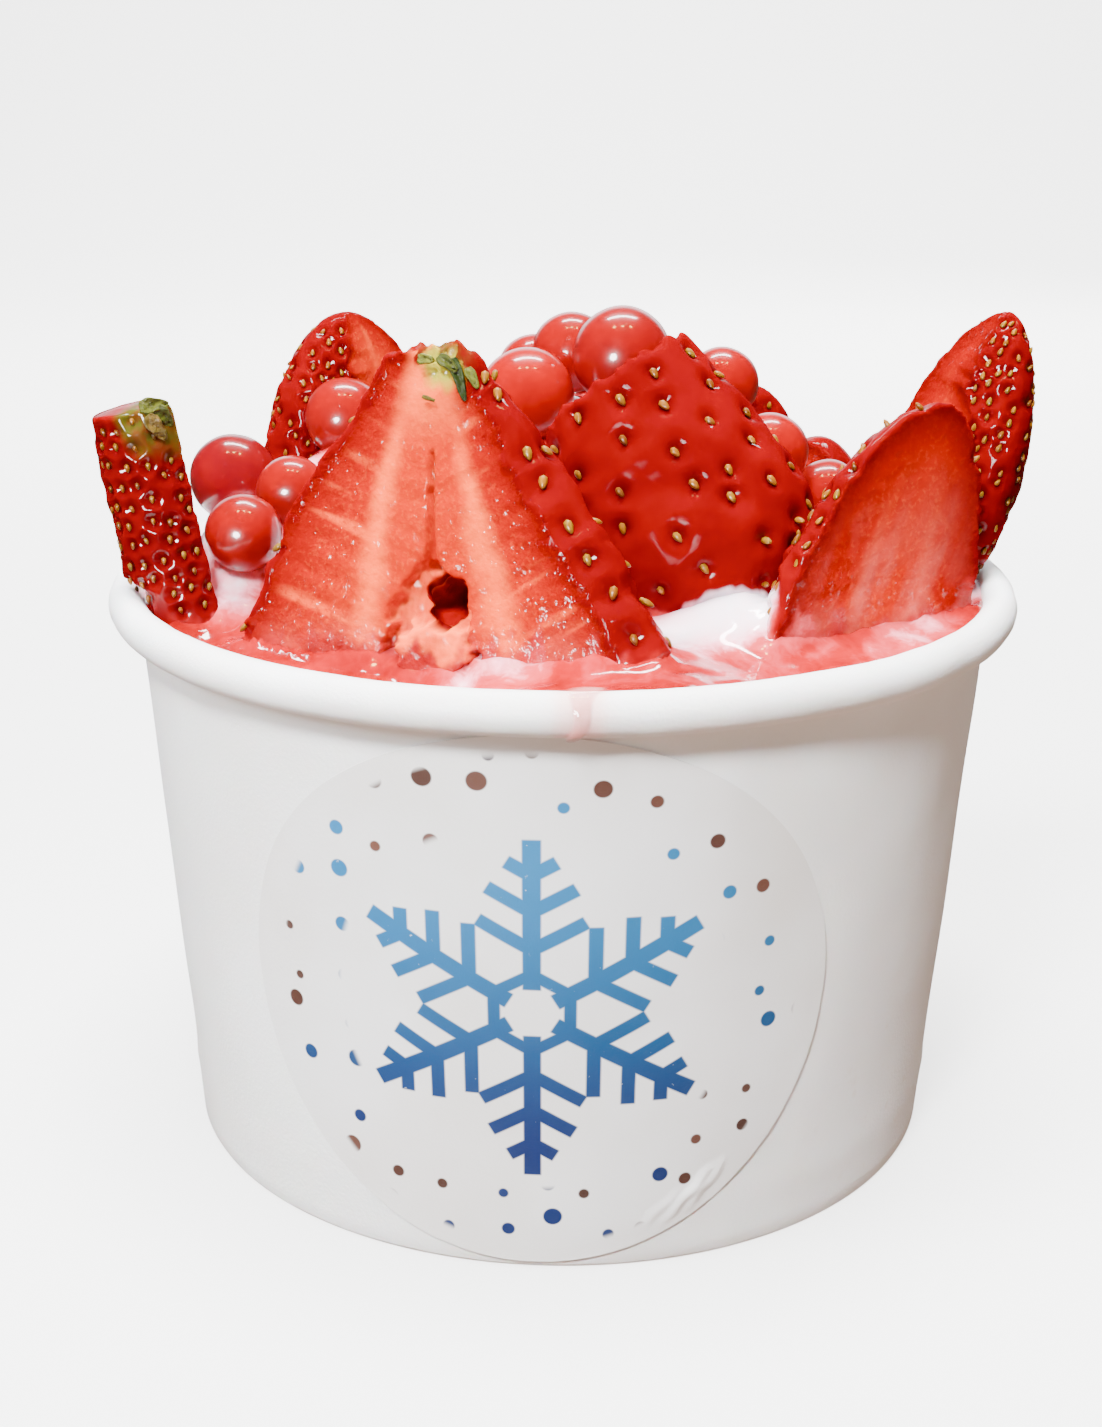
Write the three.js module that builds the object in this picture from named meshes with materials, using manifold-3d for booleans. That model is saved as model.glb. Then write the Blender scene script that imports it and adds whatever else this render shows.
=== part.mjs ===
// A paper cup of ice cream heaped with cut strawberries and juice pearls.
// Millimetres, +Z up. The origin is on the cup's axis, level with its foot, and -Y is the front.

import * as THREE from 'three';
import { mergeVertices } from 'three/addons/utils/BufferGeometryUtils.js';
import Module from 'manifold-3d';

const wasm = await Module();
wasm.setup();

// Cup: a tapered paper wall with a rolled rim, folded at the foot round the skirt of a raised base
const CUP_HEIGHT = 60;
const RIM_RADIUS = 47.5;
const FOOT_RADIUS = 40.5;
const WALL_TAPER = THREE.MathUtils.degToRad(4);
const PAPER = 0.6;
const ROLL_HALF_HEIGHT = 2.05;
const ROLL_TUCK = THREE.MathUtils.degToRad(-120);
const ROLL_STEPS = 10;
const BASE_LIFT = 6;
const FOLD_HEIGHT = 5;
const FOOT_CHAMFER = 0.4;
const FIT_GAP = 0.15;
const WELD_DISTANCE = 1e-4;
const CUP_SIDES = 48;

// Label: a slightly oval sticker on the front of the wall, its width measured round the wall
const LABEL_HALF_WIDTH = 29.2;
const LABEL_HALF_HEIGHT = 27.4;
const LABEL_MIDDLE = 28.2;
const LABEL_TURN = THREE.MathUtils.degToRad(-3.4);
const LABEL_STANDOFF = 0.1;
const LABEL_THICKNESS = 0.2;
const LABEL_SIDES = 30;

// Ice cream: level at the wall, with flat-topped hills that carry the fruit
const CREAM_EDGE = 57.5;
const CREAM_SIDES = CUP_SIDES / 2;
const CREAM_RINGS = 12;
const CREAM_RIM_FADE = 10;
const CREAM_HILLS = [
  { centre: [0, 10], reach: [27, 17], height: 17.5, steepness: 6 },
  { centre: [-24, 5], reach: [8, 8], height: 13, steepness: 4 },
  { centre: [-33, -1], reach: [8, 12], height: 8.5, steepness: 4 },
  { centre: [28, 8], reach: [8, 9], height: 6.5, steepness: 4 },
];
const HILL_BLEND = 4;

// Strawberries: each is a berry between its calyx and tip, with one plane cut along it.
// It widens from neck to girth at girthAt of its length, rounder for a larger flare, and closes to the
// tip, more pointed for a larger taper. face points out of the cut, cut shifts that plane into the
// berry, depth is thickness over half width, crown is how far the calyx end stands out, and bow is how
// far the middle leans to one side.
const BERRY_SIDES = 18;
const BERRY_RINGS = 8;
const PIECE_GAP = 0.35;
const KEEP_REACH = 4;
const SLOPE_STEP = 0.1;
const SEED_SIZE = [0.6, 0.95, 0.45];
const SEED_HEIGHT = SEED_SIZE[2];
const SEED_STRAY = 0.3;
const SEED_STRAY_SEED = 3;
const SEED_ABOVE_CREAM = 1.5;
const SEED_FROM_CUT = 0.7;
const HOLLOW_BERRY = 'strawberry_front';
const HOLLOW_CENTRE = [0.1, 0, 23.2];
const HOLLOW_SIZE = [2.1, 4, 2.5];
const HOLLOW_SIDES = 10;
const HOLLOW_RINGS = 8;
const BERRIES = [
  {
    name: 'strawberry_front', calyx: [-12.6, -20, 84.6], tip: [-9, -29.3, 39.9], face: [-0.28, -0.94, 0.2],
    neck: 4.7, girth: 22.2, girthAt: 0.62, flare: 1.24, taper: 0.55, depth: 0.64, cut: 0, crown: 0.8,
    bow: 1.2, seedPitch: 6,
  },
  {
    name: 'strawberry_front_right', calyx: [27.5, -20.7, 45.8], tip: [37.9, -12.5, 79.3],
    face: [0.5, -0.84, 0.05], neck: 8, girth: 11.8, girthAt: 0.25, flare: 2, taper: 0.55, depth: 0.85,
    cut: 0, crown: 0, bow: -0.5, seedPitch: 4.8,
  },
  {
    name: 'strawberry_middle', calyx: [5.5, -5.5, 80.1], tip: [20.6, -13.4, 58.5], face: [0, 0.94, -0.34],
    neck: 8.4, girth: 10, girthAt: 0.62, flare: 1.4, taper: 0.5, depth: 0.8, cut: 0, crown: 0,
    bow: 0.6, seedPitch: 4.8,
  },
  {
    name: 'strawberry_left', calyx: [-42.1, -12, 78.3], tip: [-34.8, -12.9, 41.1], face: [0.75, 0.66, 0.2],
    neck: 4.3, girth: 4.8, girthAt: 0.5, flare: 2, taper: 0.55, depth: 1, cut: -1.5, crown: 0.6,
    bow: -0.5, seedPitch: 4.3,
  },
  {
    name: 'strawberry_back_left', calyx: [-23.4, 16.5, 49], tip: [-24.2, 16, 84.5], face: [0.6, -0.8, 0],
    neck: 7, girth: 11, girthAt: 0.42, flare: 2, taper: 0.55, depth: 0.85, cut: 0, crown: 0,
    bow: 0.6, seedPitch: 5,
  },
  {
    name: 'strawberry_right', calyx: [33.2, 3.5, 51], tip: [45.8, 0, 86.8], face: [-0.75, -0.66, 0.1],
    neck: 6, girth: 8.4, girthAt: 0.45, flare: 2, taper: 0.68, depth: 0.8, cut: 0, crown: 0,
    bow: 0.5, seedPitch: 4.7,
  },
  {
    name: 'strawberry_back_right', calyx: [27, 24, 47], tip: [30.3, 25, 69.4], face: [-0.7, -0.7, 0.1],
    neck: 5, girth: 7.5, girthAt: 0.45, flare: 2, taper: 0.55, depth: 0.85, cut: -2, crown: 0,
    bow: 0, seedPitch: 5.6,
  },
  {
    name: 'strawberry_behind', calyx: [18.5, 18, 58], tip: [20.9, 15, 77.2], face: [0.2, 0.96, 0.1],
    neck: 5, girth: 7, girthAt: 0.45, flare: 2, taper: 0.55, depth: 0.8, cut: 0, crown: 0,
    bow: 0, seedPitch: 5,
  },
];

// Pearls: the ones in view stand at [x, y, z, radius], and a spiral rule sets more on the slopes behind
const SEEN_PEARLS = [
  [-35.4, 4, 68.3, 4.8],
  [-32.2, -11, 65.7, 4],
  [-28.1, -4, 68.5, 3.8],
  [-23.7, 8, 74.2, 4.4],
  [-16.4, 4, 78, 4],
  [-12.4, 11, 77.3, 3.9],
  [-3.9, 1, 77.8, 5.1],
  [6, 1, 81.9, 5.3],
  [0.8, 10, 81.1, 4.4],
  [-3.3, 18, 77.8, 4.3],
  [16.8, 6, 78.4, 4],
  [21.9, 3, 71.7, 4.2],
  [28.8, 7, 66.3, 3.9],
];
const SEEN_PEARL_DETAIL = 2;
const BACK_PEARL_DETAIL = 1;
const SOCKET_DETAIL = 1;
const SOCKET_EASE = 1.07;
const PEARL_SPACING = 0.5;
const BACK_PEARL_TRIES = 260;
const BACK_PEARL_LIMIT = 12;
const BACK_PEARL_SEED = 7;
const BACK_PEARL_RADIUS = [3.9, 4.8];
const BACK_PEARL_SINK = 0.35;
const BACK_PEARL_REACH = 34;
const BACK_PEARL_CENTRE = [0, 8];
const GOLDEN_ANGLE = Math.PI * (3 - Math.sqrt(5));

// Colours and finishes
const PAPER_WHITE = { color: 0xf1efec, roughness: 0.6, metalness: 0 };
const LABEL_BLUE = { color: 0x4aa3d8, roughness: 0.35, metalness: 0 };
const CREAM_PINK = { color: 0xf8dfe0, roughness: 0.3, metalness: 0 };
const BERRY_RED = { color: 0xc8161a, roughness: 0.25, metalness: 0 };
const PEARL_RED = { color: 0xd8202a, roughness: 0.08, metalness: 0 };

// Keep only positions, weld shared corners and drop the collapsed triangles at a lathe's poles
function welded(geometry) {
  geometry.deleteAttribute('normal');
  geometry.deleteAttribute('uv');
  const merged = mergeVertices(geometry, WELD_DISTANCE);
  const index = merged.getIndex().array;
  const kept = [];
  for (let i = 0; i < index.length; i += 3) {
    const [a, b, c] = [index[i], index[i + 1], index[i + 2]];
    if (a !== b && b !== c && c !== a) kept.push(a, b, c);
  }
  merged.setIndex(kept);
  return merged;
}

// Turn a closed geometry into a solid that can be joined and cut
function solidOf(geometry) {
  const closed = welded(geometry);
  const vertProperties = new Float32Array(closed.getAttribute('position').array);
  const triVerts = new Uint32Array(closed.getIndex().array);
  return new wasm.Manifold(new wasm.Mesh({ numProp: 3, vertProperties, triVerts }));
}

// Turn a solid back into a geometry
function geometryOf(solid) {
  const mesh = solid.getMesh();
  const geometry = new THREE.BufferGeometry();
  geometry.setAttribute('position', new THREE.BufferAttribute(new Float32Array(mesh.vertProperties), 3));
  geometry.setIndex(new THREE.BufferAttribute(new Uint32Array(mesh.triVerts), 1));
  return geometry;
}

// The largest body of a solid, without loose scraps
function largestBody(solid) {
  const bodies = solid.decompose();
  return bodies.reduce((best, body) => (body.volume() > best.volume() ? body : best));
}

// Revolve a profile of [radius, height] pairs about the Z axis
function revolve(profile, sides) {
  const points = profile.map(([radius, height]) => new THREE.Vector2(radius, height));
  return new THREE.LatheGeometry(points, sides).rotateX(Math.PI / 2);
}

// A steady stream of numbers from 0 to 1
function seededStream(seed) {
  let state = seed >>> 0;
  return () => {
    state = (Math.imul(state, 1664525) + 1013904223) >>> 0;
    return state / 2 ** 32;
  };
}

// Outer radius of the cup's wall at a height, and the inner one
const wallRadius = (z) => FOOT_RADIUS + z * Math.tan(WALL_TAPER);
const innerRadius = (z) => wallRadius(z) - PAPER;

// Wall: up the outside, round the rim's roll, down the inside and round the folded foot
function wallGeometry() {
  const slot = PAPER + 2 * FIT_GAP;
  const foldOuter = (z) => innerRadius(z) - slot;
  const rollZ = CUP_HEIGHT - ROLL_HALF_HEIGHT;
  const rollHalfWidth = (RIM_RADIUS - innerRadius(rollZ)) / 2;
  const rollR = RIM_RADIUS - rollHalfWidth;
  const tuckZ = rollZ + ROLL_HALF_HEIGHT * Math.sin(ROLL_TUCK);
  const profile = [
    [FOOT_RADIUS - FOOT_CHAMFER, 0],
    [wallRadius(FOOT_CHAMFER), FOOT_CHAMFER],
    [wallRadius(tuckZ), tuckZ],
  ];
  for (let i = 0; i <= ROLL_STEPS; i++) {
    const angle = THREE.MathUtils.lerp(ROLL_TUCK, Math.PI, i / ROLL_STEPS);
    profile.push([rollR + rollHalfWidth * Math.cos(angle), rollZ + ROLL_HALF_HEIGHT * Math.sin(angle)]);
  }
  profile.push(
    [innerRadius(PAPER), PAPER],
    [foldOuter(PAPER), PAPER],
    [foldOuter(FOLD_HEIGHT), FOLD_HEIGHT],
    [foldOuter(FOLD_HEIGHT) - PAPER, FOLD_HEIGHT],
    [foldOuter(FOOT_CHAMFER) - PAPER, FOOT_CHAMFER],
    [foldOuter(0) - PAPER + FOOT_CHAMFER, 0],
    profile[0],
  );
  return revolve(profile, CUP_SIDES);
}

// Base: a raised disc whose skirt hangs in the foot's fold
function baseGeometry() {
  const skirtOuter = (z) => innerRadius(z) - FIT_GAP;
  const skirtFoot = PAPER + FIT_GAP;
  const top = BASE_LIFT + PAPER;
  const profile = [
    [0, BASE_LIFT],
    [skirtOuter(BASE_LIFT) - PAPER, BASE_LIFT],
    [skirtOuter(skirtFoot) - PAPER, skirtFoot],
    [skirtOuter(skirtFoot), skirtFoot],
    [skirtOuter(top), top],
    [0, top],
  ];
  return revolve(profile, CUP_SIDES);
}

// Label: a thin shell round the wall, cut to an oval that bends with it
function labelGeometry() {
  const low = LABEL_MIDDLE - LABEL_HALF_HEIGHT;
  const high = LABEL_MIDDLE + LABEL_HALF_HEIGHT;
  const inside = (z) => wallRadius(z) + LABEL_STANDOFF;
  const outside = (z) => inside(z) + LABEL_THICKNESS;
  const shell = revolve([
    [outside(low), low],
    [outside(high), high],
    [inside(high), high],
    [inside(low), low],
    [outside(low), low],
  ], CUP_SIDES);
  const middleRadius = wallRadius(LABEL_MIDDLE);
  const halfChord = middleRadius * Math.sin(LABEL_HALF_WIDTH / middleRadius);
  const cutter = new THREE.CylinderGeometry(1, 1, 2 * RIM_RADIUS, LABEL_SIDES)
    .scale(halfChord, 1, LABEL_HALF_HEIGHT)
    .translate(0, -RIM_RADIUS, LABEL_MIDDLE)
    .rotateZ(LABEL_TURN);
  return geometryOf(solidOf(shell).intersect(solidOf(cutter)));
}

// Height of the ice cream's surface over a point of the cup
function creamHeight(x, y) {
  let sum = 0;
  for (const { centre, reach, height, steepness } of CREAM_HILLS) {
    const distance = Math.hypot((x - centre[0]) / reach[0], (y - centre[1]) / reach[1]);
    sum += (height * Math.exp(-(distance ** steepness))) ** HILL_BLEND;
  }
  const nearWall = Math.min(1, Math.hypot(x, y) / innerRadius(CREAM_EDGE));
  return CREAM_EDGE + sum ** (1 / HILL_BLEND) * (1 - nearWall ** CREAM_RIM_FADE);
}

// Ice cream: a plug that fits the cup, its top raised to the hills
function creamSolid() {
  const bottom = BASE_LIFT + PAPER + FIT_GAP;
  const plugRadius = (z) => innerRadius(z) - FIT_GAP;
  const profile = [[0, bottom], [plugRadius(bottom), bottom]];
  for (let ring = CREAM_RINGS; ring >= 0; ring--) {
    profile.push([plugRadius(CREAM_EDGE) * (ring / CREAM_RINGS), CREAM_EDGE]);
  }
  const plug = revolve(profile, CREAM_SIDES);
  const corners = plug.getAttribute('position');
  for (let i = 0; i < corners.count; i++) {
    const onTop = corners.getZ(i) > (bottom + CREAM_EDGE) / 2;
    if (onTop) corners.setZ(i, creamHeight(corners.getX(i), corners.getY(i)));
  }
  return solidOf(plug);
}

// Half width of a berry at a distance from its calyx
function berryRadius(berry, along) {
  const girthAlong = berry.girthAt * berry.length;
  if (along < girthAlong) {
    return berry.neck + (berry.girth - berry.neck) * (1 - (1 - along / girthAlong) ** berry.flare);
  }
  const toTip = (along - girthAlong) / (berry.length - girthAlong);
  return berry.girth * Math.max(0, 1 - toTip ** 2) ** berry.taper;
}

// Change of a berry's half width along its length
function berrySlope(berry, along) {
  const rise = berryRadius(berry, along + SLOPE_STEP) - berryRadius(berry, along - SLOPE_STEP);
  return rise / (2 * SLOPE_STEP);
}

// Sideways lean of a berry's middle line at a distance from its calyx
const berryBow = (berry, along) => berry.bow * Math.sin((Math.PI * along) / berry.length);

// A berry with its length and its place: local Z runs to the tip and local Y away from the cut
function placedBerry(spec) {
  const calyx = new THREE.Vector3(...spec.calyx);
  const axis = new THREE.Vector3(...spec.tip).sub(calyx);
  const length = axis.length();
  axis.normalize();
  const inward = new THREE.Vector3(...spec.face).negate();
  inward.addScaledVector(axis, -inward.dot(axis)).normalize();
  const across = new THREE.Vector3().crossVectors(inward, axis);
  const place = new THREE.Matrix4().makeBasis(across, inward, axis).setPosition(calyx);
  return { ...spec, length, place };
}

// The cut berry without seeds, larger all round by grow
function berrySolid(berry, grow) {
  const profile = [[0, -berry.crown - grow], [berry.neck + grow, -grow]];
  for (let ring = 1; ring < BERRY_RINGS; ring++) {
    const along = berry.length * Math.sin((Math.PI / 2) * (ring / BERRY_RINGS));
    profile.push([berryRadius(berry, along) + grow, along]);
  }
  profile.push([0, berry.length + grow]);
  const whole = revolve(profile, BERRY_SIDES).scale(1, berry.depth, 1);
  const corners = whole.getAttribute('position');
  for (let i = 0; i < corners.count; i++) {
    corners.setX(i, corners.getX(i) + berryBow(berry, corners.getZ(i)));
  }
  whole.applyMatrix4(berry.place);
  const reach = KEEP_REACH * berry.length;
  const keep = new THREE.BoxGeometry(reach, reach, reach)
    .translate(0, reach / 2 + berry.cut - grow, 0)
    .applyMatrix4(berry.place);
  return solidOf(whole).intersect(solidOf(keep));
}

// Seeds in staggered rows over the skin that stands clear of the ice cream
function seedGeometries(berry, random) {
  const seeds = [];
  const rows = Math.floor(berry.length / berry.seedPitch);
  for (let row = 1; row < rows; row++) {
    const along = row * berry.seedPitch;
    const radius = berryRadius(berry, along);
    const slope = berrySlope(berry, along);
    const count = Math.max(1, Math.round((2 * Math.PI * radius) / berry.seedPitch));
    for (let k = 0; k < count; k++) {
      const step = k + (row % 2) / 2 + SEED_STRAY * (random() - 0.5);
      const angle = (2 * Math.PI * step) / count;
      const point = new THREE.Vector3(
        radius * Math.cos(angle) + berryBow(berry, along), radius * berry.depth * Math.sin(angle), along);
      if (point.y < berry.cut + SEED_FROM_CUT) continue;
      const out = new THREE.Vector3(Math.cos(angle), Math.sin(angle) / berry.depth, -slope).normalize();
      const down = new THREE.Vector3(0, 0, 1).addScaledVector(out, -out.z).normalize();
      const side = new THREE.Vector3().crossVectors(down, out);
      const place = new THREE.Matrix4().makeBasis(side, down, out).setPosition(point);
      place.premultiply(berry.place);
      const spot = new THREE.Vector3().setFromMatrixPosition(place);
      if (spot.z < creamHeight(spot.x, spot.y) + SEED_ABOVE_CREAM) continue;
      seeds.push(new THREE.OctahedronGeometry(1).scale(...SEED_SIZE).applyMatrix4(place));
    }
  }
  return seeds;
}

// The torn hollow that opens in the front berry's cut face
function hollowSolid(berry) {
  const hollow = new THREE.SphereGeometry(1, HOLLOW_SIDES, HOLLOW_RINGS)
    .scale(...HOLLOW_SIZE)
    .translate(...HOLLOW_CENTRE)
    .applyMatrix4(berry.place);
  return solidOf(hollow);
}

// The room inside the cup's wall and rim: everything outside it is barred to the fruit
function barredRing() {
  const low = BASE_LIFT;
  const high = CUP_HEIGHT + PIECE_GAP;
  const outside = 2 * RIM_RADIUS;
  return solidOf(revolve([
    [outside, low],
    [outside, high],
    [innerRadius(high) - PIECE_GAP, high],
    [innerRadius(low) - PIECE_GAP, low],
    [outside, low],
  ], CUP_SIDES));
}

// A pearl of few or more facets
function pearlGeometry([x, y, z, radius], detail) {
  return new THREE.IcosahedronGeometry(radius, detail).translate(x, y, z);
}

// The coarser socket that a pearl sits in, with room all round
function socketSolid([x, y, z, radius]) {
  return solidOf(pearlGeometry([x, y, z, (radius + PIECE_GAP) * SOCKET_EASE], SOCKET_DETAIL));
}

// More pearls on a spiral over the slopes, where they clear the fruit, the rim and one another
function backPearls(barred) {
  const random = seededStream(BACK_PEARL_SEED);
  const found = [];
  for (let i = 1; i <= BACK_PEARL_TRIES && found.length < BACK_PEARL_LIMIT; i++) {
    const radius = THREE.MathUtils.lerp(...BACK_PEARL_RADIUS, random());
    const distance = BACK_PEARL_REACH * Math.sqrt(i / BACK_PEARL_TRIES);
    const x = BACK_PEARL_CENTRE[0] + distance * Math.cos(i * GOLDEN_ANGLE);
    const y = BACK_PEARL_CENTRE[1] + distance * Math.sin(i * GOLDEN_ANGLE);
    if (y < BACK_PEARL_CENTRE[1]) continue;
    const z = creamHeight(x, y) + radius * (1 - BACK_PEARL_SINK);
    const clear = [...SEEN_PEARLS, ...found].every(([px, py, pz, pr]) => (
      Math.hypot(x - px, y - py, z - pz) > radius + pr + PEARL_SPACING));
    if (!clear) continue;
    const pearl = [x, y, z, radius];
    if (barred.every((piece) => socketSolid(pearl).intersect(piece).isEmpty())) found.push(pearl);
  }
  return found;
}

// A named mesh with its own material
function part(name, geometry, finish) {
  const closed = welded(geometry);
  closed.computeVertexNormals();
  const mesh = new THREE.Mesh(closed, new THREE.MeshStandardMaterial(finish));
  mesh.name = name;
  return mesh;
}

const group = new THREE.Group();
group.name = 'ice_cream_cup';
group.add(part('cup_wall', wallGeometry(), PAPER_WHITE));
group.add(part('cup_base', baseGeometry(), PAPER_WHITE));
group.add(part('label', labelGeometry(), LABEL_BLUE));

// Each berry gives way to the wall and to the seeded berries before it
const barred = [barredRing()];
const berryRooms = [];
const random = seededStream(SEED_STRAY_SEED);
for (const spec of BERRIES) {
  const berry = placedBerry(spec);
  let solid = berrySolid(berry, 0);
  for (const seed of seedGeometries(berry, random)) solid = solid.add(solidOf(seed));
  if (berry.name === HOLLOW_BERRY) solid = solid.subtract(hollowSolid(berry));
  for (const room of barred) solid = solid.subtract(room);
  group.add(part(berry.name, geometryOf(largestBody(solid)), BERRY_RED));
  barred.push(berrySolid(berry, PIECE_GAP + SEED_HEIGHT));
  berryRooms.push(berrySolid(berry, PIECE_GAP));
}

const pearls = [...SEEN_PEARLS, ...backPearls(barred)];
pearls.forEach((pearl, i) => {
  const name = `pearl_${String(i + 1).padStart(2, '0')}`;
  const detail = i < SEEN_PEARLS.length ? SEEN_PEARL_DETAIL : BACK_PEARL_DETAIL;
  group.add(part(name, pearlGeometry(pearl, detail), PEARL_RED));
});

// The ice cream is cut round all that stands in it
let cream = creamSolid();
for (const room of berryRooms) cream = cream.subtract(room);
for (const pearl of pearls) cream = cream.subtract(socketSolid(pearl));
group.add(part('ice_cream', geometryOf(largestBody(cream)), CREAM_PINK));

export default group;
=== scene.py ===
"""Looks of a paper cup of ice cream heaped with cut strawberries and juice pearls."""

import logging
import math
import random
from contextlib import contextmanager
from dataclasses import dataclass, field
from enum import Enum
from functools import cache
from typing import Callable, Iterator, Sequence

import bpy
import numpy as np
from mathutils import Matrix, Vector, noise
from mathutils.bvhtree import BVHTree
from mathutils.kdtree import KDTree


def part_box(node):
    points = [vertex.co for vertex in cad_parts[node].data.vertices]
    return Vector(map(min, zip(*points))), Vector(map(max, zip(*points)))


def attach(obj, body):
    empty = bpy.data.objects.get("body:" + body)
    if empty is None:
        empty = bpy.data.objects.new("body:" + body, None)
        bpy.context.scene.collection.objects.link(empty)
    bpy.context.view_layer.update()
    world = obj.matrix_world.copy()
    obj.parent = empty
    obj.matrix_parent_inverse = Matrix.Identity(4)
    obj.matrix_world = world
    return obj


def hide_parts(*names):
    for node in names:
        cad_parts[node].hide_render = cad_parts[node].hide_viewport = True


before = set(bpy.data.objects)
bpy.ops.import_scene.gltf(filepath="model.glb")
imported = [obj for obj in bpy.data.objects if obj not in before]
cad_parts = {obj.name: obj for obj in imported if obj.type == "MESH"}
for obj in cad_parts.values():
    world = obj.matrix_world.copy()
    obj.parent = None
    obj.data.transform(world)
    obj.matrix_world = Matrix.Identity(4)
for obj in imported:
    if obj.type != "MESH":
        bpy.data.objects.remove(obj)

LOG = logging.getLogger("ice_cream_cup")
MM = 0.001
FAR = 99.0
TINY = 1e-6
MERGE_GAP = 1e-4
IMAGE_WIDTH = 1102
IMAGE_HEIGHT = 1427
SENSOR_WIDTH = 36.0

Array = np.ndarray
Material = bpy.types.Material
Node = bpy.types.Node
Piece = bpy.types.Object
Socket = bpy.types.NodeSocket
Tree = bpy.types.NodeTree
Triple = tuple[float, float, float]
Colour = tuple[float, float, float, float]
Value = float | Socket
Paint = Colour | Socket
Profile = list[tuple[float, float]]
Level = Callable[[Array, Array], Array]
CUP_MIDDLE: Triple = (0.0, 0.0, 0.05)
FRUIT_MIDDLE: Triple = (0.0, 0.0, 0.06)


class Slot(Enum):
    """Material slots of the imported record."""

    PAPER = "cup_paper"
    LABEL = "label_print"
    CREAM = "ice_cream"
    BERRY = "strawberry"
    PEARL = "juice_pearl"


class Mark(Enum):
    """Values that the pieces carry on their points for their finishes."""

    FLESH = "flesh"
    RIM = "rim"
    FRUIT = "fruit"
    # Painted shade in the cut face's recesses: the hollow, the slit and the nick.
    WOUND = "wound"
    TORN = "torn"
    GLOSS = "gloss"
    CALYX = "calyx"
    MILK = "milk"
    PALE = "pale"
    DIMPLE = "dimple"
    JUICE = "juice"
    TONE = "tone"
    VEIL = "veil"


class Beam(Enum):
    """What a lamp gives: light alone or reflections alone."""

    SOFT = (True, False)
    SHINE = (False, True)


def srgb(code: str) -> Colour:
    """Turns a hex colour into linear values.

    Args:
        code: Six hex digits.

    Returns:
        Linear red, green, blue and full opacity.
    """
    parts = [int(code[i:i + 2], 16) / 255 for i in (0, 2, 4)]
    linear = [c / 12.92 if c <= 0.04045 else ((c + 0.055) / 1.055) ** 2.4 for c in parts]
    return (linear[0], linear[1], linear[2], 1.0)


def smooth(low: float, high: float, value: Array) -> Array:
    """Rises smoothly from 0 to 1 between two bounds, or falls where low is above high.

    Args:
        low: Where the result is 0.
        high: Where the result is 1.
        value: Values to grade.

    Returns:
        Grades from 0 to 1.
    """
    t = np.clip((value - low) / (high - low), 0.0, 1.0)
    return t * t * (3.0 - 2.0 * t)


def cloud(points: Array, size: float, octaves: int = 2, shift: float = 0.0) -> Array:
    """Gives fractal noise at points.

    Args:
        points: Places, one row each.
        size: Size of the largest features.
        octaves: Number of finer layers.
        shift: Moves the pattern, so that each use differs.

    Returns:
        Values from about -1 to 1.
    """
    scaled = points / size + shift
    return np.array([noise.fractal(Vector(p), 1.0, 2.0, octaves) for p in scaled])


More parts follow.
